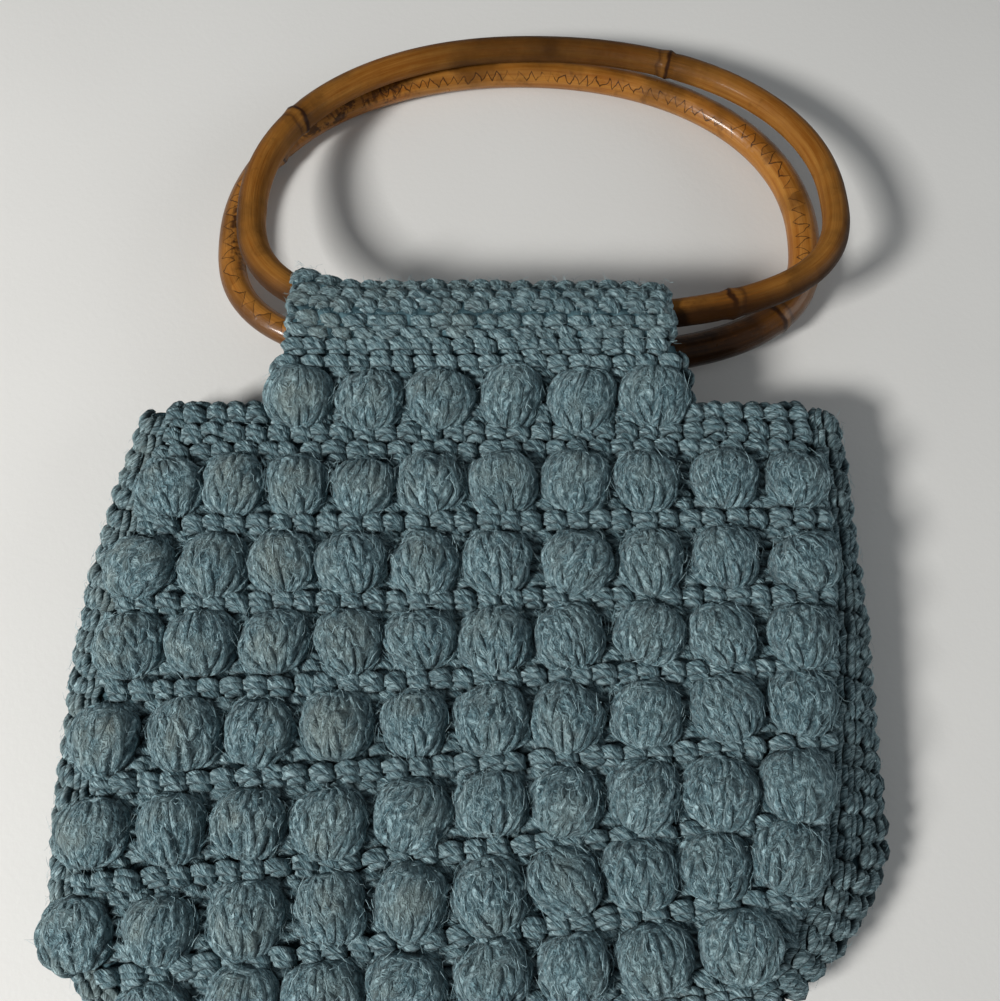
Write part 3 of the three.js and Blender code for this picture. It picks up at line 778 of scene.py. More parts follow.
def scorched_zigzag(s, colour, along, around, share, place, cane):
    """A thin zigzag burnt along the upper face of the cane, with wider teeth towards the sleeve on its left, and
    smudges and feathered strokes before them."""
    run = along + (s.noise(place, 95.0, 3.0) - 0.5) * 0.0085
    sway = (s.noise(place, 170.0, 3.0) - 0.5) * 0.11
    fading = s.between(s.noise(place, 150.0), 0.34, 0.46, 0.25, 1.0)
    # Each stretch: from and to as shares of the way round, length of a tooth, middle and half width round the cane.
    for start, end, tooth, middle, half in (
        (0.205, 0.335, cane.zigzag * 1.25, 0.300, 0.070),
        (0.335, 0.605, cane.zigzag, 0.395, 0.048),
        (0.700, 0.860, cane.zigzag * 1.45, 0.235, 0.085),
    ):
        teeth = s.math("PINGPONG", run, tooth / 2) / (tooth / 4)
        line = teeth * half + (middle - half) + sway
        inside = s.band(share, (start + end) / 2, (end - start) / 2, 0.004)
        # The burning has browned the cane on the outer side of the line.
        browned = s.between(line - around, -0.004, 0.012, 0.0, 0.5) * inside
        browned = browned * s.between(s.noise(place, 60.0), 0.42, 0.6)
        colour = s.blend(browned, colour, shade(cane.middle, 0.3))
        colour = s.blend(s.band(around, line, 0.005, 0.010) * fading * inside * 0.9, colour, cane.scorch)
    near = s.math("MAXIMUM", s.band(share, 0.625, 0.035, 0.02), s.band(share, 0.735, 0.035, 0.03))
    smudge = s.between(s.noise(place, 210.0, 4.0, 0.7), 0.50, 0.58) * near * s.band(around, 0.38, 0.10, 0.06)
    colour = s.blend(smudge * 0.85, colour, cane.scorch)
    feather = s.between(s.math("PINGPONG", run + around * 0.006, 0.0011), 0.0003, 0.0006, 1.0, 0.0)
    feather = feather * near * s.band(around, 0.36, 0.08, 0.05) * s.between(s.noise(place, 140.0), 0.48, 0.58)
    return s.blend(feather * 0.6, colour, cane.scorch)


# Bobbles

BALL = np.array([10.8, 10.7, 8.3])
BALL_MIDDLE = np.array([0.0, 0.0, 1.1])
CORE = BALL - 0.4
# How far the bobbles keep their thickness. Those of the back are flattened by the bag that lies on them.
FLATNESS = {"front": 1.0, "back": 5.3 / 9.5}


def ball_ways(theta, phi):
    """Ways out of a ball, theta from its crown downwards and phi round it."""
    return np.stack([np.sin(theta) * np.sin(phi), np.cos(theta), np.sin(theta) * np.cos(phi)], -1)


def pear(local):
    """Points of a bobble with its shoulders made square and its foot drawn in."""
    up = local[..., 1] / BALL[1]
    wide = 1.0 + 0.07 * up + 0.16 * np.maximum(up, 0.0) ** 2
    return local * np.stack([wide, 1.0 - 0.05 * (up > 0), np.ones_like(up)], -1)


class Lumps:
    """Uneven swellings of one bobble, the same for its strands and its core."""

    def __init__(self, random, uneven):
        self.waves = random.normal(0.0, 0.24, (3, 3))
        self.phases = random.uniform(0.0, 2 * math.pi, 3)
        self.size = 0.032 * uneven

    def on(self, local):
        swell = np.cos(local @ self.waves.T + self.phases).sum(-1)
        return pear(local) * (1.0 + self.size * swell)[..., None]


def spread(first, last, count, bow):
    share = np.linspace(0.0, 1.0, count)
    return first + (last - first) * share + bow * np.sin(math.pi * share)


def bobble_places(side):
    """Middles of a panel's bobbles, from the neck down."""
    up, first, last, count = NECK_BOBBLES
    x = spread(first, last, count, 0.0) * NECK_HALF_WIDTH
    places = [np.stack([x, np.full(count, up * NECK_HEIGHT)], -1)]
    for down, first, last, bow, count, tuck in BOBBLE_ROWS:
        if side == "front":
            x = spread(first, last, count, bow) * HALF_WIDTH
        else:
            left, right = edges_at(side, down)
            x = np.linspace(left + tuck * BOBBLE_RADIUS, right - tuck * BOBBLE_RADIUS, count)
        places.append(np.stack([x, row_at(x, down)], -1))
    random = np.random.default_rng(7)
    return [row + np.clip(random.normal(0.0, 0.55, row.shape), -1.1, 1.1) * (side == "front") for row in places]


def bobble_strands(random, uneven, fine):
    """Strands of one bobble as (paths, outs, radii), half sunk in a felted ball whose foot is the zero point. They
    hang in tiers from its crown, as slanting pairs, and the lowest pairs close in Vs towards its foot."""
    steps = 8 if fine else 6
    swirl = random.normal(0.0, 0.16) * uneven
    lean = random.normal(0.0, 0.12) * uneven
    paths, radii = [], []
    t = np.linspace(0.0, 1.0, steps)
    swell = np.sin(math.pi * (0.05 + 0.90 * t)) ** 0.7

    def strand(theta, phi, thick, proud):
        """One strand from theta[0] to theta[1] down the ball and from phi[0] to phi[1] round it, in degrees."""
        theta = np.radians(theta[0] + (theta[1] - theta[0]) * t + random.normal(0, 2.5, 1) * uneven)
        phi = np.radians(phi[0] + (phi[1] - phi[0]) * t) + random.normal(0, 0.045) * uneven
        phi = phi + random.normal(0, 0.05) * np.sin(math.pi * t) * uneven + swirl * (theta - math.pi / 2) + lean
        radius = thick * random.uniform(0.9, 1.12) * (0.55 + 0.45 * swell)
        height = (proud + random.normal(0, 0.14) * uneven) * swell - 0.6 * (1 - swell)
        paths.append(ball_ways(theta, phi) * (CORE + (height - radius)[:, None]) + BALL_MIDDLE)
        radii.append(radius)

    def tier(count, top, bottom, wide, slant, thick, proud):
        for i, phi in enumerate(np.linspace(-wide, wide, count)):
            way = slant if i % 2 else -slant
            above = top + random.normal(0, 4.0) * uneven
            below = bottom + random.normal(0, 5.0) * uneven
            strand((above, below), (phi * (0.80 if top < 40 else 1.0) - way, phi + way), thick, proud)

    waist = random.uniform(96, 110)
    if not fine:
        tier(7, 14, waist, 82, 2.0, 1.6, 0.9)
        tier(6, waist - 6, 163, 72, -7.0, 1.6, 1.1)
    elif random.uniform() < 0.4:
        tier(10, 13, waist, 86, 3.0, 1.40, 0.62)
        tier(8, waist - 7, 164, 80, -6.5, 1.55, 1.05)
    else:
        brow = random.uniform(50, 66)
        tier(9, 12, brow + 10, 84, 4.0, 1.35, 0.62)
        tier(10, brow, waist + 4, 86, 8.0, 1.45, 0.80)
        tier(8, waist - 7, 164, 80, -6.5, 1.55, 1.05)
    for i in range(random.integers(1, 4) if fine else 1):
        # Short loops that cross the crown
        middle, half = random.uniform(-28, 28), random.uniform(22, 48)
        theta = 20 + 12 * i + random.uniform(-4, 6)
        strand((theta, theta + random.normal(0, 5)), (middle - half, middle + half), 1.25, 0.75)
    paths = np.array(paths)
    return paths, unit(paths - BALL_MIDDLE), np.array(radii)


def felt_balls(name, axes, centres, sizes, lumps, wool, random, fine):
    """Closed felted balls that fill the bobbles between their strands. axes is (balls, 3, 3)."""
    rings, sides = (13, 20) if fine else (7, 12)
    theta = np.repeat(math.pi * (np.arange(rings) + 0.6) / (rings + 0.2), sides)
    phi = np.tile(2 * math.pi * np.arange(sides) / sides, rings)
    ball = np.concatenate([ball_ways(theta, phi), [[0, 1, 0], [0, -1, 0]]])
    count = len(centres)
    local = np.stack([lump.on(ball * CORE + BALL_MIDDLE) for lump in lumps]) * sizes[:, None] / BALL
    points = centres[:, None] + local @ axes
    quad = tube_cells(rings, sides)[0]
    j, k = np.arange(sides), (np.arange(sides) + 1) % sides
    top, last = rings * sides, (rings - 1) * sides
    tri = np.concatenate([np.stack([np.full(sides, top), j, k], -1),
                          np.stack([last + k, last + j, np.full(sides, top + 1)], -1)])
    if np.linalg.det(axes[0]) < 0:
        quad, tri = quad[:, ::-1], tri[:, ::-1]
    base = len(ball) * np.arange(count)[:, None, None]
    # u runs from the crown to the foot, as the strands do, and v round the ball.
    u = np.append(theta, [0.0, math.pi]) * 9.5 * MM
    v = np.append(phi, [0.0, 0.0])
    shift = random.uniform(0.0, 0.1, (count, 1, 1))

    def corners(face):
        turn = v[face]
        turn = np.where(turn < turn.max(1, keepdims=True) - math.pi, turn + 2 * math.pi, turn)
        return np.stack([u[face] + shift, np.broadcast_to(turn * 0.9, (count, *face.shape)) + 7 * shift], -1)

    # Towards the crown of each ball the material paints lighter matted wool with painted highlight, and towards its
    # foot painted shade.
    marks = {"tone": np.repeat(random.uniform(0.2, 0.7, count), len(ball)),
             "worn_and_lit": np.clip(local[..., 2] / 9.0, 0, 1).reshape(-1),
             "open": np.clip(local[..., 2] / 6.0 - 0.3, -0.5, 0.55).reshape(-1)}
    faces = [(base + quad).reshape(-1, 4), (base + tri).reshape(-1, 3)]
    return finish_mesh(name, points.reshape(-1, 3), faces, [corners(quad), corners(tri)],
                       wool_material("wool_felted", wool), marks)


def make_bobbles(side, rows, name, wool, fine, seed):
    spool = Spool(seed)
    random = spool.random
    places = [bobble_places(side)[row] for row in rows]
    # The first and the last bobble of each row
    edges = np.concatenate([np.isin(np.arange(len(row)), (0, len(row) - 1)) for row in places])
    places = np.concatenate(places)
    centres, alongs, ups, outs = panel_frames(places[:, 0], places[:, 1], side)
    squash = np.array([1.0, 1.0, FLATNESS[side]])
    scales = 1.0 + np.clip(random.normal(0.0, (0.05, 0.04, 0.04), (len(places), 3)), -0.09, 0.08) * wool.unevenness
    if side == "front":
        # Those at the sides of the front are wider, most of all on the left, and so are those on the neck.
        scales[:, 0] += 0.04 * edges + 0.07 * (places[:, 0] < FAR_LEFT) + 0.05 * (places[:, 1] > 0)
    frames = []
    lumps = [Lumps(random, wool.unevenness) for _ in places]
    for centre, along, up, out, scale, lump in zip(centres, alongs, ups, outs, scales, lumps):
        paths, ways, radii = bobble_strands(random, wool.unevenness, fine)
        turn = random.normal(0.0, 0.18) * wool.unevenness
        cos, sin = math.cos(turn), math.sin(turn)
        axes = np.stack([along * cos + up * sin, up * cos - along * sin, out])
        frames.append(axes)
        # How high each point of a strand rises on its bobble; the material paints matted wool with painted
        # highlight on the high parts.
        worn_and_lit = np.clip(paths[..., 2] / 9.5, 0, 1)
        paths = lump.on(paths) * scale * squash
        spool.add(centre + paths @ axes, ways @ axes, radii * (wool.strand / MM / 2.5), 6 if fine else 5, worn_and_lit)
    dressed(spool.wind(name, wool_material("wool_felted", wool)), "wool")
    sizes = BALL * scales * squash
    dressed(felt_balls(name + "_cores", np.array(frames), centres, sizes, lumps, wool, random, fine), "wool")


# Stitches


def stitch_paths(fine):
    """Strands of one plain stitch on a flat face, one unit wide and high: three arches side by side."""
    t = np.linspace(-1.0, 1.0, 7 if fine else 5)
    low = 1 - t**2
    first = np.stack([0.56 * t, 0.10 + 0.24 * low, -0.22 + 0.42 * low**0.7], -1)
    second = np.stack([0.52 * t + 0.04, -0.12 + 0.20 * low, -0.18 + 0.43 * low**0.7], -1)
    third = np.stack([0.42 * t + 0.10, -0.38 + 0.12 * low, -0.30 + 0.42 * low**0.7], -1)
    return np.array([first, second, third] if fine else [first, (second + third) / 2])


def add_stitches(spool, frames, width, height, wool, fine, worn_and_lit=0.0, deep=1.0):
    """Stitches at the given points, with their ways along, up and out. deep is how far their ends dip."""
    centres, alongs, ups, outs = frames
    count = len(centres)
    random = spool.random
    uneven = wool.unevenness
    pattern = stitch_paths(fine)
    strands, steps = pattern.shape[:2]
    turn = random.normal(0.0, 0.13, count)[:, None] * uneven
    turned_along = alongs * np.cos(turn) + ups * np.sin(turn)
    turned_up = ups * np.cos(turn) - alongs * np.sin(turn)
    scale = 1.0 + random.normal(0.0, 0.06, (count, 1, 1)) * uneven
    shape = pattern[None] * np.array([width, height, width])
    shape[..., 2] -= (deep - 1.0) * 0.26 * width * (np.linspace(-1.0, 1.0, steps) ** 4)
    shape = shape * scale[..., None] + random.normal(0.0, 0.13, (count, strands, 1, 3)) * uneven
    shape = shape + random.normal(0.0, 0.07, (count, strands, steps, 3)) * uneven
    paths = (centres[:, None, None] + shape[..., 0, None] * turned_along[:, None, None]
             + shape[..., 1, None] * turned_up[:, None, None] + shape[..., 2, None] * outs[:, None, None])
    t = np.linspace(-1.0, 1.0, steps)
    radii = wool.strand / MM / 2 * (0.86 + 0.30 * (1 - t**2)) * random.uniform(0.92, 1.08, (count * strands, 1))
    radii = radii * (1.0 if fine else 1.15)
    spool.add(paths.reshape(-1, steps, 3), np.repeat(outs, strands, 0)[:, None], radii, 5 if fine else 4, worn_and_lit)


def line_stitches(left, right, width, random):
    """Middles of the stitches that fill a line from left to right."""
    count = max(1, round((right - left) / width))
    places = np.arange(count) + 0.5 + random.uniform(-0.45, 0.45) + random.normal(0.0, 0.07, count)
    return left + np.clip(places, 0.3, count - 0.3) * (right - left) / count


def lifted(frames, lift):
    """The same frames with their points moved outwards."""
    return frames[0] + frames[3] * lift, *frames[1:]


def panel_lines():
    """The lines of plain stitches on a panel, as (share of the height down, lift, height, depth)."""
    downs = [row[0] for row in BOBBLE_ROWS]
    # Between two rows of bobbles, one line of stitches stands out and two lie deeper, at its sides.
    group = (0.0, 2.2, 5.6, 1.7), (-4.6, -0.5, 5.0, 1.0), (4.6, -0.5, 5.0, 1.0)
    between = [((a + b) / 2 + step / BODY_HEIGHT, *line) for a, b in zip(downs[:-1], downs[1:])
               for step, *line in group]
    return between + [(down, 0.3, 6.2, 1.5) for down in (0.018, 0.052, 0.086, 0.975)]


def make_panel_stitches(side, wool, fine, seed):
    spool = Spool(seed)
    random = spool.random
    width = wool.stitch / MM
    front = side == "front"
    for down, lift, height, deep in panel_lines():
        left, right = edges_at(side, down)
        x = line_stitches(left + 2.0, right - 2.0, width, random)
        lift = lift + random.normal(0.0, 0.25, (len(x), 1)) * (lift > 0)
        lift = lift if front else np.minimum(lift, 0.4)
        frames = lifted(panel_frames(x, row_at(x, down), side), lift)
        add_stitches(spool, frames, width, height, wool, fine, 0.0, deep)
    for y in NECK_LINES:
        left, right = neck_edges(y)
        x = line_stitches(left + 0.2 * y, right - 0.2 * y, width, random)
        y = y * (1.0 if front else HANDLES["back"]["seam"])
        add_stitches(spool, panel_frames(x, np.full_like(x, y), side), width, 5.6, wool, fine)
    # Stitches between the last bobbles of a row and the edges of the panel
    for (down, *_), places in zip(BOBBLE_ROWS, bobble_places(side)[1:]):
        left, right = edges_at(side, down)
        for a, b in ((left + 1.0, places[0, 0] - 7.0), (places[-1, 0] + 7.0, right - 1.0)):
            for step in (-7.5, -2.5, 2.5, 7.5):
                x = line_stitches(a, b, width * 0.8, random)
                level = down - step / BODY_HEIGHT
                low, high = edges_at(side, level)
                x = x[np.minimum(x - low, high - x) > 0.5]
                if len(x):
                    frames = panel_frames(x, row_at(x, level), side)
                    add_stitches(spool, frames, width * 0.9, 5.6, wool, fine)
    # Stitches that fill the gaps between neighbouring bobbles
    for places in bobble_places(side):
        middle = (places[1:] + places[:-1]) / 2
        for step in (-5.6, 0.0, 5.6):
            frames = panel_frames(middle[:, 0] + random.normal(0, 0.5, len(middle)), middle[:, 1] + step, side)
            add_stitches(spool, lifted(frames, -0.7 if front else 0.4), width, 6.0, wool, False)

    def rim(centres, alongs, outs, way, step):
        """Stitches over a rim of the cloth, which faces the given way."""
        way = np.broadcast_to(way, outs.shape)
        add_stitches(spool, (centres - outs * (FABRIC / 2), alongs, outs, way), step, FABRIC, wool, fine)

    corners, neck = edges_at(side, 0.0), neck_edges(0.0)
    for a, b in ((corners[0], neck[0]), (neck[1], corners[1])):
        x = line_stitches(a, b, width * 0.8, random)
        centres, alongs, _, outs = panel_frames(x, np.full_like(x, -0.6), side)
        rim(centres, alongs, outs, (0.0, 1.0, 0.0), width * 0.8)
    for edge, way in enumerate((-1.0, 1.0)):
        y = line_stitches(0.5, 15.0 if front else 12.0, width * 0.75, random)
        centres, _, ups, outs = panel_frames(neck_edges(y)[edge] - 2.3 * way, y, side)
        rim(centres, ups, outs, (way, 0.0, 0.0), width * 0.75)
    dressed(spool.wind(side + "_stitches", wool_material("wool_yarn", wool)), "wool")


def make_strip_stitches(wool, seed):
    strip = SideStrip()
    spool = Spool(seed)
    width = wool.stitch / MM * 0.94
    for turn in (80, 44, 8, -30, -70):
        length = line_stitches(1.0, strip.length[-1] - 1.0, width, spool.random)
        frames = strip.frames(length, np.full_like(length, math.radians(turn)))
        # Their lighter matted grey in patches is painted light, for a strip that lies in the bag's shade.
        add_stitches(spool, lifted(frames, -0.3), width, 8.2, wool, turn > 0, 0.9, 0.6)
    dressed(spool.wind("strip_stitches", wool_material("wool_yarn", wool)), "wool")


def make_sleeve_stitches(side, wool, seed):
    handle = handle_sizes(side)
    spool = Spool(seed)
    random = spool.random
    width = wool.stitch / MM
    ends = np.array([SLEEVE_LEFT + 0.8, SLEEVE_RIGHT - 0.8]) - handle["across"]

    def drawn_in(share):
        """How far the mouths are drawn in, from the seam to the sleeve's upper edge."""
        return 0.6 + 2.2 * np.sin(math.pi * share)

    def frames(x, girth, under):
        """Points on the sleeve with the ways along it, round it and outwards. girth is a share of the whole."""
        radius = sleeve_radius(handle, x, under)
        _, total = sleeve_point(handle, x, 0.0 * x, radius)

        def at(dx, dg):
            return seated(sleeve_point(handle, x + dx, girth * total + dg, radius)[0], handle)

        along = unit(at(0.7, 0) - at(-0.7, 0))
        out = unit(np.cross(along, at(0, 0.7) - at(0, -0.7)))
        return at(0, 0), along, np.cross(out, along), out

    for line in range(12):
        # Two and two lines lie close, with a groove after them.
        share = (line + (0.40 if line % 2 else 0.62)) / 12
        x = line_stitches(ends[0] + drawn_in(share), ends[1] - drawn_in(share), width, random)
        share = share + random.normal(0, 0.002, len(x))
        add_stitches(spool, frames(x, share, 1.7), width * 1.02, 4.0, wool, side == "front" and line < 8, 0.9, 1.5)
    # A thread that runs along each of the grooves
    x = np.linspace(ends[0] + 3, ends[1] - 3, 40)
    for line in range(0, 12, 2):
        share = (line + 0.02) / 12 + 0.004 * np.sin(x / 17.0 + line)
        points, _, _, outs = frames(x, share, 1.9)
        wavy = points + outs * (0.25 * np.sin(x * 2 * math.pi / width))[:, None]
        spool.add(wavy[None], outs[None], np.full((1, 40), 0.62), 5)
    # Stitches round the mouths at both ends
    for end, way in ((ends[0] - 0.2, -1.0), (ends[1] + 0.2, 1.0)):
        share = (np.arange(10) + 0.5) / 10 + random.uniform(-0.02, 0.02)
        points, _, ups, _ = frames(end - way * drawn_in(share), share, 1.9)
        out = np.broadcast_to([way, 0.0, 0.0], ups.shape)
        add_stitches(spool, (points - out * 1.0, ups, np.cross(out, ups), out), width * 0.85, 3.4, wool, False)
    dressed(spool.wind(side + "_sleeve_stitches", wool_material("wool_yarn", wool)), "wool")


# Operators


class BAG_OT_cloth(bpy.types.Operator):
    """Makes the cloth under the stitches: both panels with their necks, the side strip and the sleeves"""

    bl_idname = "bobble_bag.cloth"
    bl_label = "Ground Cloth"

    def execute(self, context):
        wool = context.scene.bobble_bag.wool
        ground = wool_material("wool_ground", wool)
        for side in ("front", "back"):
            self.panel(side, ground)
            self.sleeve(side, ground)
        self.strip(ground)
        return {"FINISHED"}

    def panel(self, side, ground):
        """One panel, and its neck as a second sheet that starts under the panel's upper edge."""
        share, down = np.meshgrid(np.linspace(0.0, 1.0, 61), np.linspace(1.0, 0.0, 61))
        left, right = edges_at(side, down)
        x = left + (right - left) * share
        body = self.sheet(side + "_cloth", x, row_at(x, down), side, ground)
        seam = HANDLES[side]["seam"] * NECK_HEIGHT
        share, y = np.meshgrid(np.linspace(0.0, 1.0, 21), np.linspace(-1.5, seam - 0.4, 9))
        left, right = [edge + inset for edge, inset in zip(neck_edges(y), (2.4, -2.4))]
        neck = self.sheet(side + "_neck_cloth", left + (right - left) * share, y, side, ground)
        dressed(neck, "wool")
        dressed(body, "wool", side + "_panel")

    def sheet(self, name, x, y, side, ground):
        level = panel_level(x, y, side)
        faces = [np.stack([x, y, level - FACE[side] * depth], -1) for depth in (CLOTH_DEPTH, FABRIC)]
        if side == "back":
            faces.reverse()
        return slab(name, *faces, ground)

    def strip(self, ground):
        strip = SideStrip()
        turns = np.linspace(-math.pi / 2, math.pi / 2, 13)
        length, angle = np.meshgrid(np.linspace(0.0, strip.length[-1], 181), turns)
        outer, inner = [strip.point(length, angle, depth) for depth in (CLOTH_DEPTH, FABRIC)]
        dressed(slab("strip_cloth", outer, inner, ground), "wool", "side_strip")

    def sleeve(self, side, ground):
        """A tube with a wall, whose faces run out along it, round its end and back inside."""
        handle = handle_sizes(side)
        x = np.linspace(SLEEVE_LEFT + 2.0, SLEEVE_RIGHT - 2.0, 33) - handle["across"]
        share = np.linspace(0.0, 1.0, 44, endpoint=False)
        loops = []
        for under, places in ((1.0, x), (None, x[::-1])):
            grid_x = np.repeat(places[:, None], len(share), 1)
            radius = handle["bore"] if under is None else sleeve_radius(handle, grid_x, under)
            _, total = sleeve_point(handle, grid_x, 0.0 * grid_x, radius)
            loops.append(seated(sleeve_point(handle, grid_x, share * total, radius)[0], handle))
        points = np.concatenate(loops)
        faces, corners = tube_cells(*points.shape[:2], closed=True)
        uv = corners * (0.0038, 0.0014)
        piece = finish_mesh(side + "_sleeve_cloth", points.reshape(-1, 3), [faces], [uv], ground)
        dressed(piece, "wool", side + "_sleeve")


class BAG_OT_bobbles(bpy.types.Operator):
    """Makes the bobbles of both panels out of looped strands"""

    bl_idname = "bobble_bag.bobbles"
    bl_label = "Bobbles"

    def execute(self, context):
        wool = context.scene.bobble_bag.wool
        make_bobbles("front", range(0, 4), "front_upper_bobbles", wool, fine=True, seed=11)
        make_bobbles("front", range(4, 8), "front_lower_bobbles", wool, fine=True, seed=12)
        make_bobbles("back", range(0, 8), "back_bobbles", wool, fine=False, seed=13)
        return {"FINISHED"}


class BAG_OT_stitches(bpy.types.Operator):
    """Makes the plain stitches between the bobbles, on the side strip and on the sleeves"""

    bl_idname = "bobble_bag.stitches"
    bl_label = "Plain Stitches"

    def execute(self, context):
        wool = context.scene.bobble_bag.wool
        make_panel_stitches("front", wool, fine=True, seed=21)
        make_panel_stitches("back", wool, fine=False, seed=22)
        make_strip_stitches(wool, seed=23)
        make_sleeve_stitches("front", wool, seed=24)
        make_sleeve_stitches("back", wool, seed=25)
        return {"FINISHED"}


class BAG_OT_handles(bpy.types.Operator):
    """Makes the two bent bamboo handles with their growth rings"""

    bl_idname = "bobble_bag.handles"
    bl_label = "Cane Handles"

    def execute(self, context):
        for side in ("front", "back"):
            self.cane(side, context.scene.bobble_bag.cane)
        return {"FINISHED"}

    def cane(self, side, cane):
        handle = handle_sizes(side)
        rings, sides = 300, 20
        line, length = oval_line(handle, rings)
        along = unit(np.roll(line, -1, 0) - np.roll(line, 1, 0))
        out = np.stack([along[:, 1], -along[:, 0]], -1)
        share = np.arange(rings) / rings
        radius = handle["start"] + (handle["end"] - handle["start"]) * share
        random = np.random.default_rng(31 if side == "front" else 32)
        for wave in range(2, 9):
            radius = radius + 0.10 / wave * np.sin(2 * math.pi * (wave * share + random.uniform()))
        for ring in handle["rings"]:
            away = (share - ring) * length
            for height, place, width in RING_SHAPE:
                radius = radius + height * np.exp(-(((away - place) / width) ** 2))
        turn = 2 * math.pi * np.arange(sides) / sides
        thick = radius[:, None] * (1.0 + 0.03 * np.cos(2 * turn + 1.0))
        x, y = np.moveaxis(line[:, None] + out[:, None] * (thick * np.cos(turn))[..., None], -1, 0)
        cos, sin = math.cos(handle["turn"]), math.sin(handle["turn"])
        points = seated(np.stack([x * cos - y * sin, x * sin + y * cos, thick * np.sin(turn)], -1), handle)
        faces, corners = tube_cells(rings, sides, closed=True)
        uv = corners * (length / rings * MM, 1.0) / (1.0, sides)
        material = cane_shader(side, cane, length * MM)
        piece = finish_mesh(side + "_cane", points.reshape(-1, 3), [faces], [uv], material)
        dressed(piece, "bamboo", side + "_handle")


class BAG_OT_fluff(bpy.types.Operator):
    """Adds the loose fibres that stand out of the wool"""

    bl_idname = "bobble_bag.fluff"
    bl_label = "Fluff"

    def execute(self, context):
        wool = context.scene.bobble_bag.wool
        spool = Spool(41)
        random = spool.random
        self.on_bobbles(spool, int(wool.fluff * 0.48), 0.07, 0.6, 1.4, 3.6)
        self.on_bobbles(spool, int(wool.fluff * 0.15), 0.035, 2.2, 1.5, 4.5)
        for side, part in (("front", 0.17), ("back", 0.02)):
            count = int(wool.fluff * part)
            down = random.uniform(0.0, 1.0, count)
            left, right = edges_at(side, down)
            x = left + (right - left) * random.uniform(0.0, 1.0, count)
            self.grow(spool, lifted(panel_frames(x, row_at(x, down), side), 2.4), *FIBRE)
        strip = SideStrip()
        count = int(wool.fluff * 0.10)
        frames = strip.frames(random.uniform(0.0, strip.length[-1], count), random.uniform(-1.4, 1.4, count))
        self.grow(spool, lifted(frames, 2.6), 0.04, 1.0, 1.2, 4.0)
        for side, part in (("front", 0.10), ("back", 0.02)):
            handle = handle_sizes(side)
            count = int(wool.fluff * part)
            x = random.uniform(SLEEVE_LEFT + 1, SLEEVE_RIGHT - 1, count) - handle["across"]
            girth = random.uniform(0.0, 45.0, count)
            inner, outer = [seated(sleeve_point(handle, x, girth, handle["radius"] + away)[0], handle)
                            for away in (-2.0, 0.6)]
            outs = unit(outer - inner)
            alongs = np.broadcast_to([1.0, 0.0, 0.0], outs.shape)
            self.grow(spool, (outer, alongs, np.cross(outs, alongs), outs), *FIBRE)
        dressed(spool.wind("fluff", wool_material("wool_fluff", wool)), "wool")
        return {"FINISHED"}

    def on_bobbles(self, spool, count, radius, lift, shortest, longest):
        """Fibres over the bobbles of the front, that lean the way the strands run."""
        random = spool.random
        places = np.concatenate(bobble_places("front"))
        places = places[random.integers(0, len(places), count)]
        centres, alongs, ups, outs = panel_frames(places[:, 0], places[:, 1], "front")
        theta = np.arccos(random.uniform(-0.85, 0.97, count))
        ball = ball_ways(theta, random.uniform(-1.4, 1.4, count))
        axes = np.stack([alongs, ups, outs], 1)
        feet = centres + np.einsum("pi,pij->pj", pear(ball * (BALL + 0.15) + BALL_MIDDLE), axes)
        ways = np.einsum("pi,pij->pj", ball, axes)
        across = unit(np.cross(ups, ways), 1e-9)
        frames = feet, np.cross(across, ways) * 1.6, across * 0.7, ways
        self.grow(spool, frames, radius, lift, shortest, longest)

    def grow(self, spool, frames, radius, lift, shortest, longest):
        """Bent fibres from the points of frames. They lie along the surface and rise from it by up to lift."""
        feet, alongs, ups, outs = frames
        random = spool.random
        count = len(feet)
        turn = random.uniform(0.0, 2 * math.pi, (count, 1))
        bend = turn + random.normal(0.0, 0.9, (count, 1))
        half = random.uniform(shortest, longest, (count, 1)) / 2
        rise = random.uniform(0.1, 1.0, (count, 1)) * lift
        first = (alongs * np.cos(turn) + ups * np.sin(turn)) * half + outs * rise * 0.7
        sag = random.uniform(-0.6, 1.0, (count, 1))
        second = (alongs * np.cos(bend) + ups * np.sin(bend)) * half + outs * rise * sag
        paths = np.stack([feet, feet + first, feet + first + second], 1)
        thick = radius * random.uniform(0.6, 1.3, (count, 1)) * np.array([0.9, 1.0, 0.5])
        spool.add(paths, np.repeat(outs[:, None], 3, 1), thick, 3)


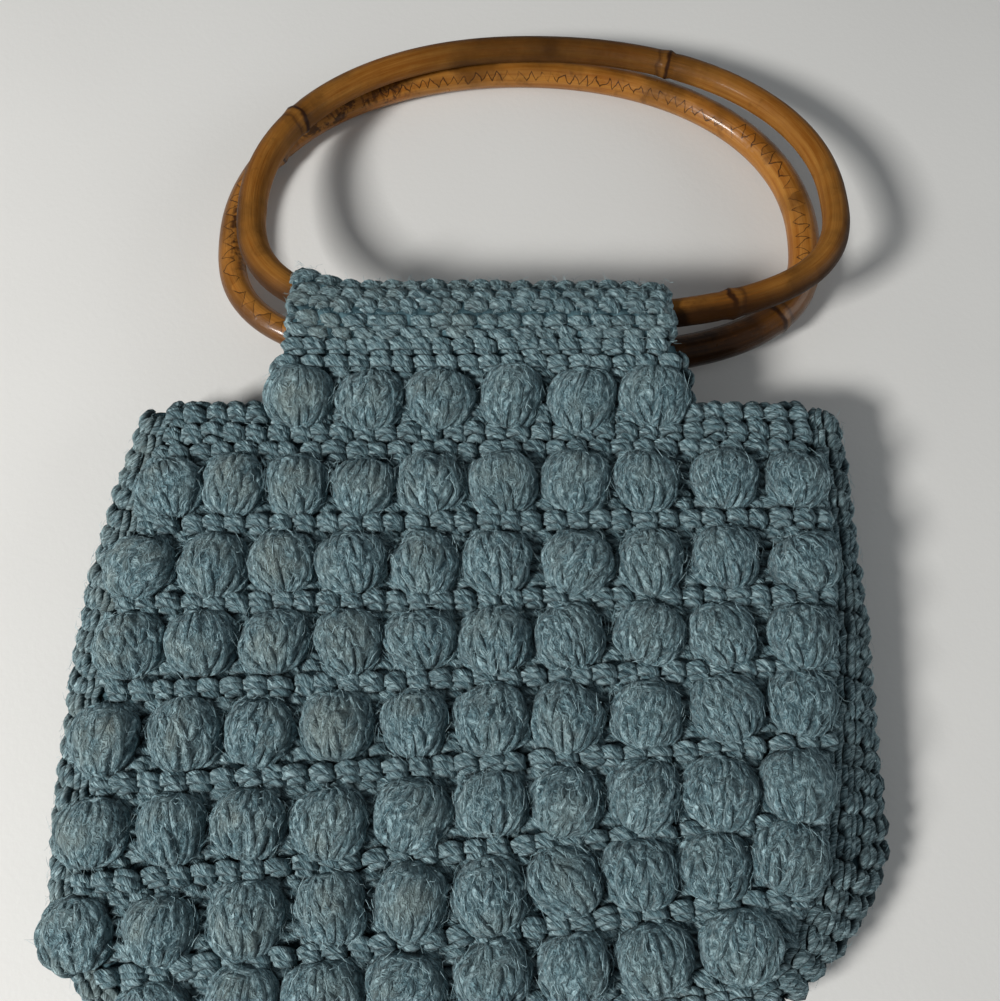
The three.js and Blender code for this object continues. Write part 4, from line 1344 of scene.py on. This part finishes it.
class BAG_OT_stage(bpy.types.Operator):
    """Sets up the floor, the lights and the camera"""

    bl_idname = "bobble_bag.stage"
    bl_label = "Stage"

    def execute(self, context):
        settings = context.scene.bobble_bag.stage
        aim = Vector((AIM + ZERO) * MM)
        self.camera(context, settings, aim)
        self.floor(settings)
        self.lights(context, settings, aim)
        context.scene.view_settings.view_transform = "Standard"
        return {"FINISHED"}

    def camera(self, context, settings, aim):
        data = bpy.data.cameras.new("camera")
        data.lens = settings.lens
        data.sensor_width = 36.0
        data.clip_start = 0.01
        camera = bpy.data.objects.new("camera", data)
        context.scene.collection.objects.link(camera)
        way = Vector((0.0, -math.cos(settings.elevation), math.sin(settings.elevation)))
        camera.location = aim + way * settings.distance
        camera.rotation_euler = (-way).to_track_quat("-Z", "Y").to_euler()
        context.scene.camera = camera

    def floor(self, settings):
        s = Shader("floor")
        place = s.place()
        stains = s.between(s.noise(place, 6.0, 3.0, 0.55), 0.35, 0.65)
        s.surface(Base_Color=s.blend(stains, shade(settings.floor, 0.96), settings.floor),
                  Normal=s.bump(0.15, 0.0004, s.noise(place, 500.0, 3.0)), Roughness=0.7)
        mesh = bpy.data.meshes.new("floor")
        corners = [(x * FLOOR_HALF, y * FLOOR_HALF, 0.0) for x, y in ((-1, -1), (1, -1), (1, 1), (-1, 1))]
        mesh.from_pydata(corners, [], [(0, 1, 2, 3)])
        mesh.materials.append(s.material)
        floor = bpy.data.objects.new("floor", mesh)
        bpy.context.scene.collection.objects.link(floor)

    def lights(self, context, settings, aim):
        for name, (offset, size, share, colour) in LIGHTS.items():
            offset = Vector(offset)
            data = bpy.data.lights.new(name, "AREA")
            data.energy = settings.key * share
            data.size = size
            data.color = colour
            light = bpy.data.objects.new(name, data)
            context.scene.collection.objects.link(light)
            light.location = aim + offset
            light.rotation_euler = (-offset).to_track_quat("-Z", "Y").to_euler()
        world = bpy.data.worlds.new("room")
        context.scene.world = world
        world.use_nodes = True
        background = world.node_tree.nodes["Background"]
        background.inputs["Color"].default_value = (0.93, 0.96, 1.0, 1.0)
        background.inputs["Strength"].default_value = settings.sky


class BAG_PT_sidebar(bpy.types.Panel):
    """Lists the bag's settings and the pieces that can be made"""

    bl_idname = "BAG_PT_sidebar"
    bl_label = "Bobble Bag"
    bl_space_type = "VIEW_3D"
    bl_region_type = "UI"
    bl_category = "Bobble Bag"

    def draw(self, context):
        settings = context.scene.bobble_bag
        for title, group in (("Wool", settings.wool), ("Cane", settings.cane), ("Stage", settings.stage)):
            box = self.layout.box()
            box.label(text=title)
            for name in group.__annotations__:
                box.prop(group, name)
        for operator in OPERATORS:
            self.layout.operator(operator.bl_idname)


OPERATORS = (BAG_OT_cloth, BAG_OT_bobbles, BAG_OT_stitches, BAG_OT_handles, BAG_OT_fluff, BAG_OT_stage)
CLASSES = (WoolSettings, CaneSettings, StageSettings, BagSettings, *OPERATORS, BAG_PT_sidebar)


def register():
    for cls in CLASSES:
        bpy.utils.register_class(cls)
    bpy.types.Scene.bobble_bag = PointerProperty(type=BagSettings)


def unregister():
    del bpy.types.Scene.bobble_bag
    for cls in reversed(CLASSES):
        bpy.utils.unregister_class(cls)


def main():
    register()
    bpy.ops.bobble_bag.stage()
    bpy.ops.bobble_bag.cloth()
    bpy.ops.bobble_bag.bobbles()
    bpy.ops.bobble_bag.stitches()
    bpy.ops.bobble_bag.handles()
    bpy.ops.bobble_bag.fluff()


if __name__ == "__main__":
    main()
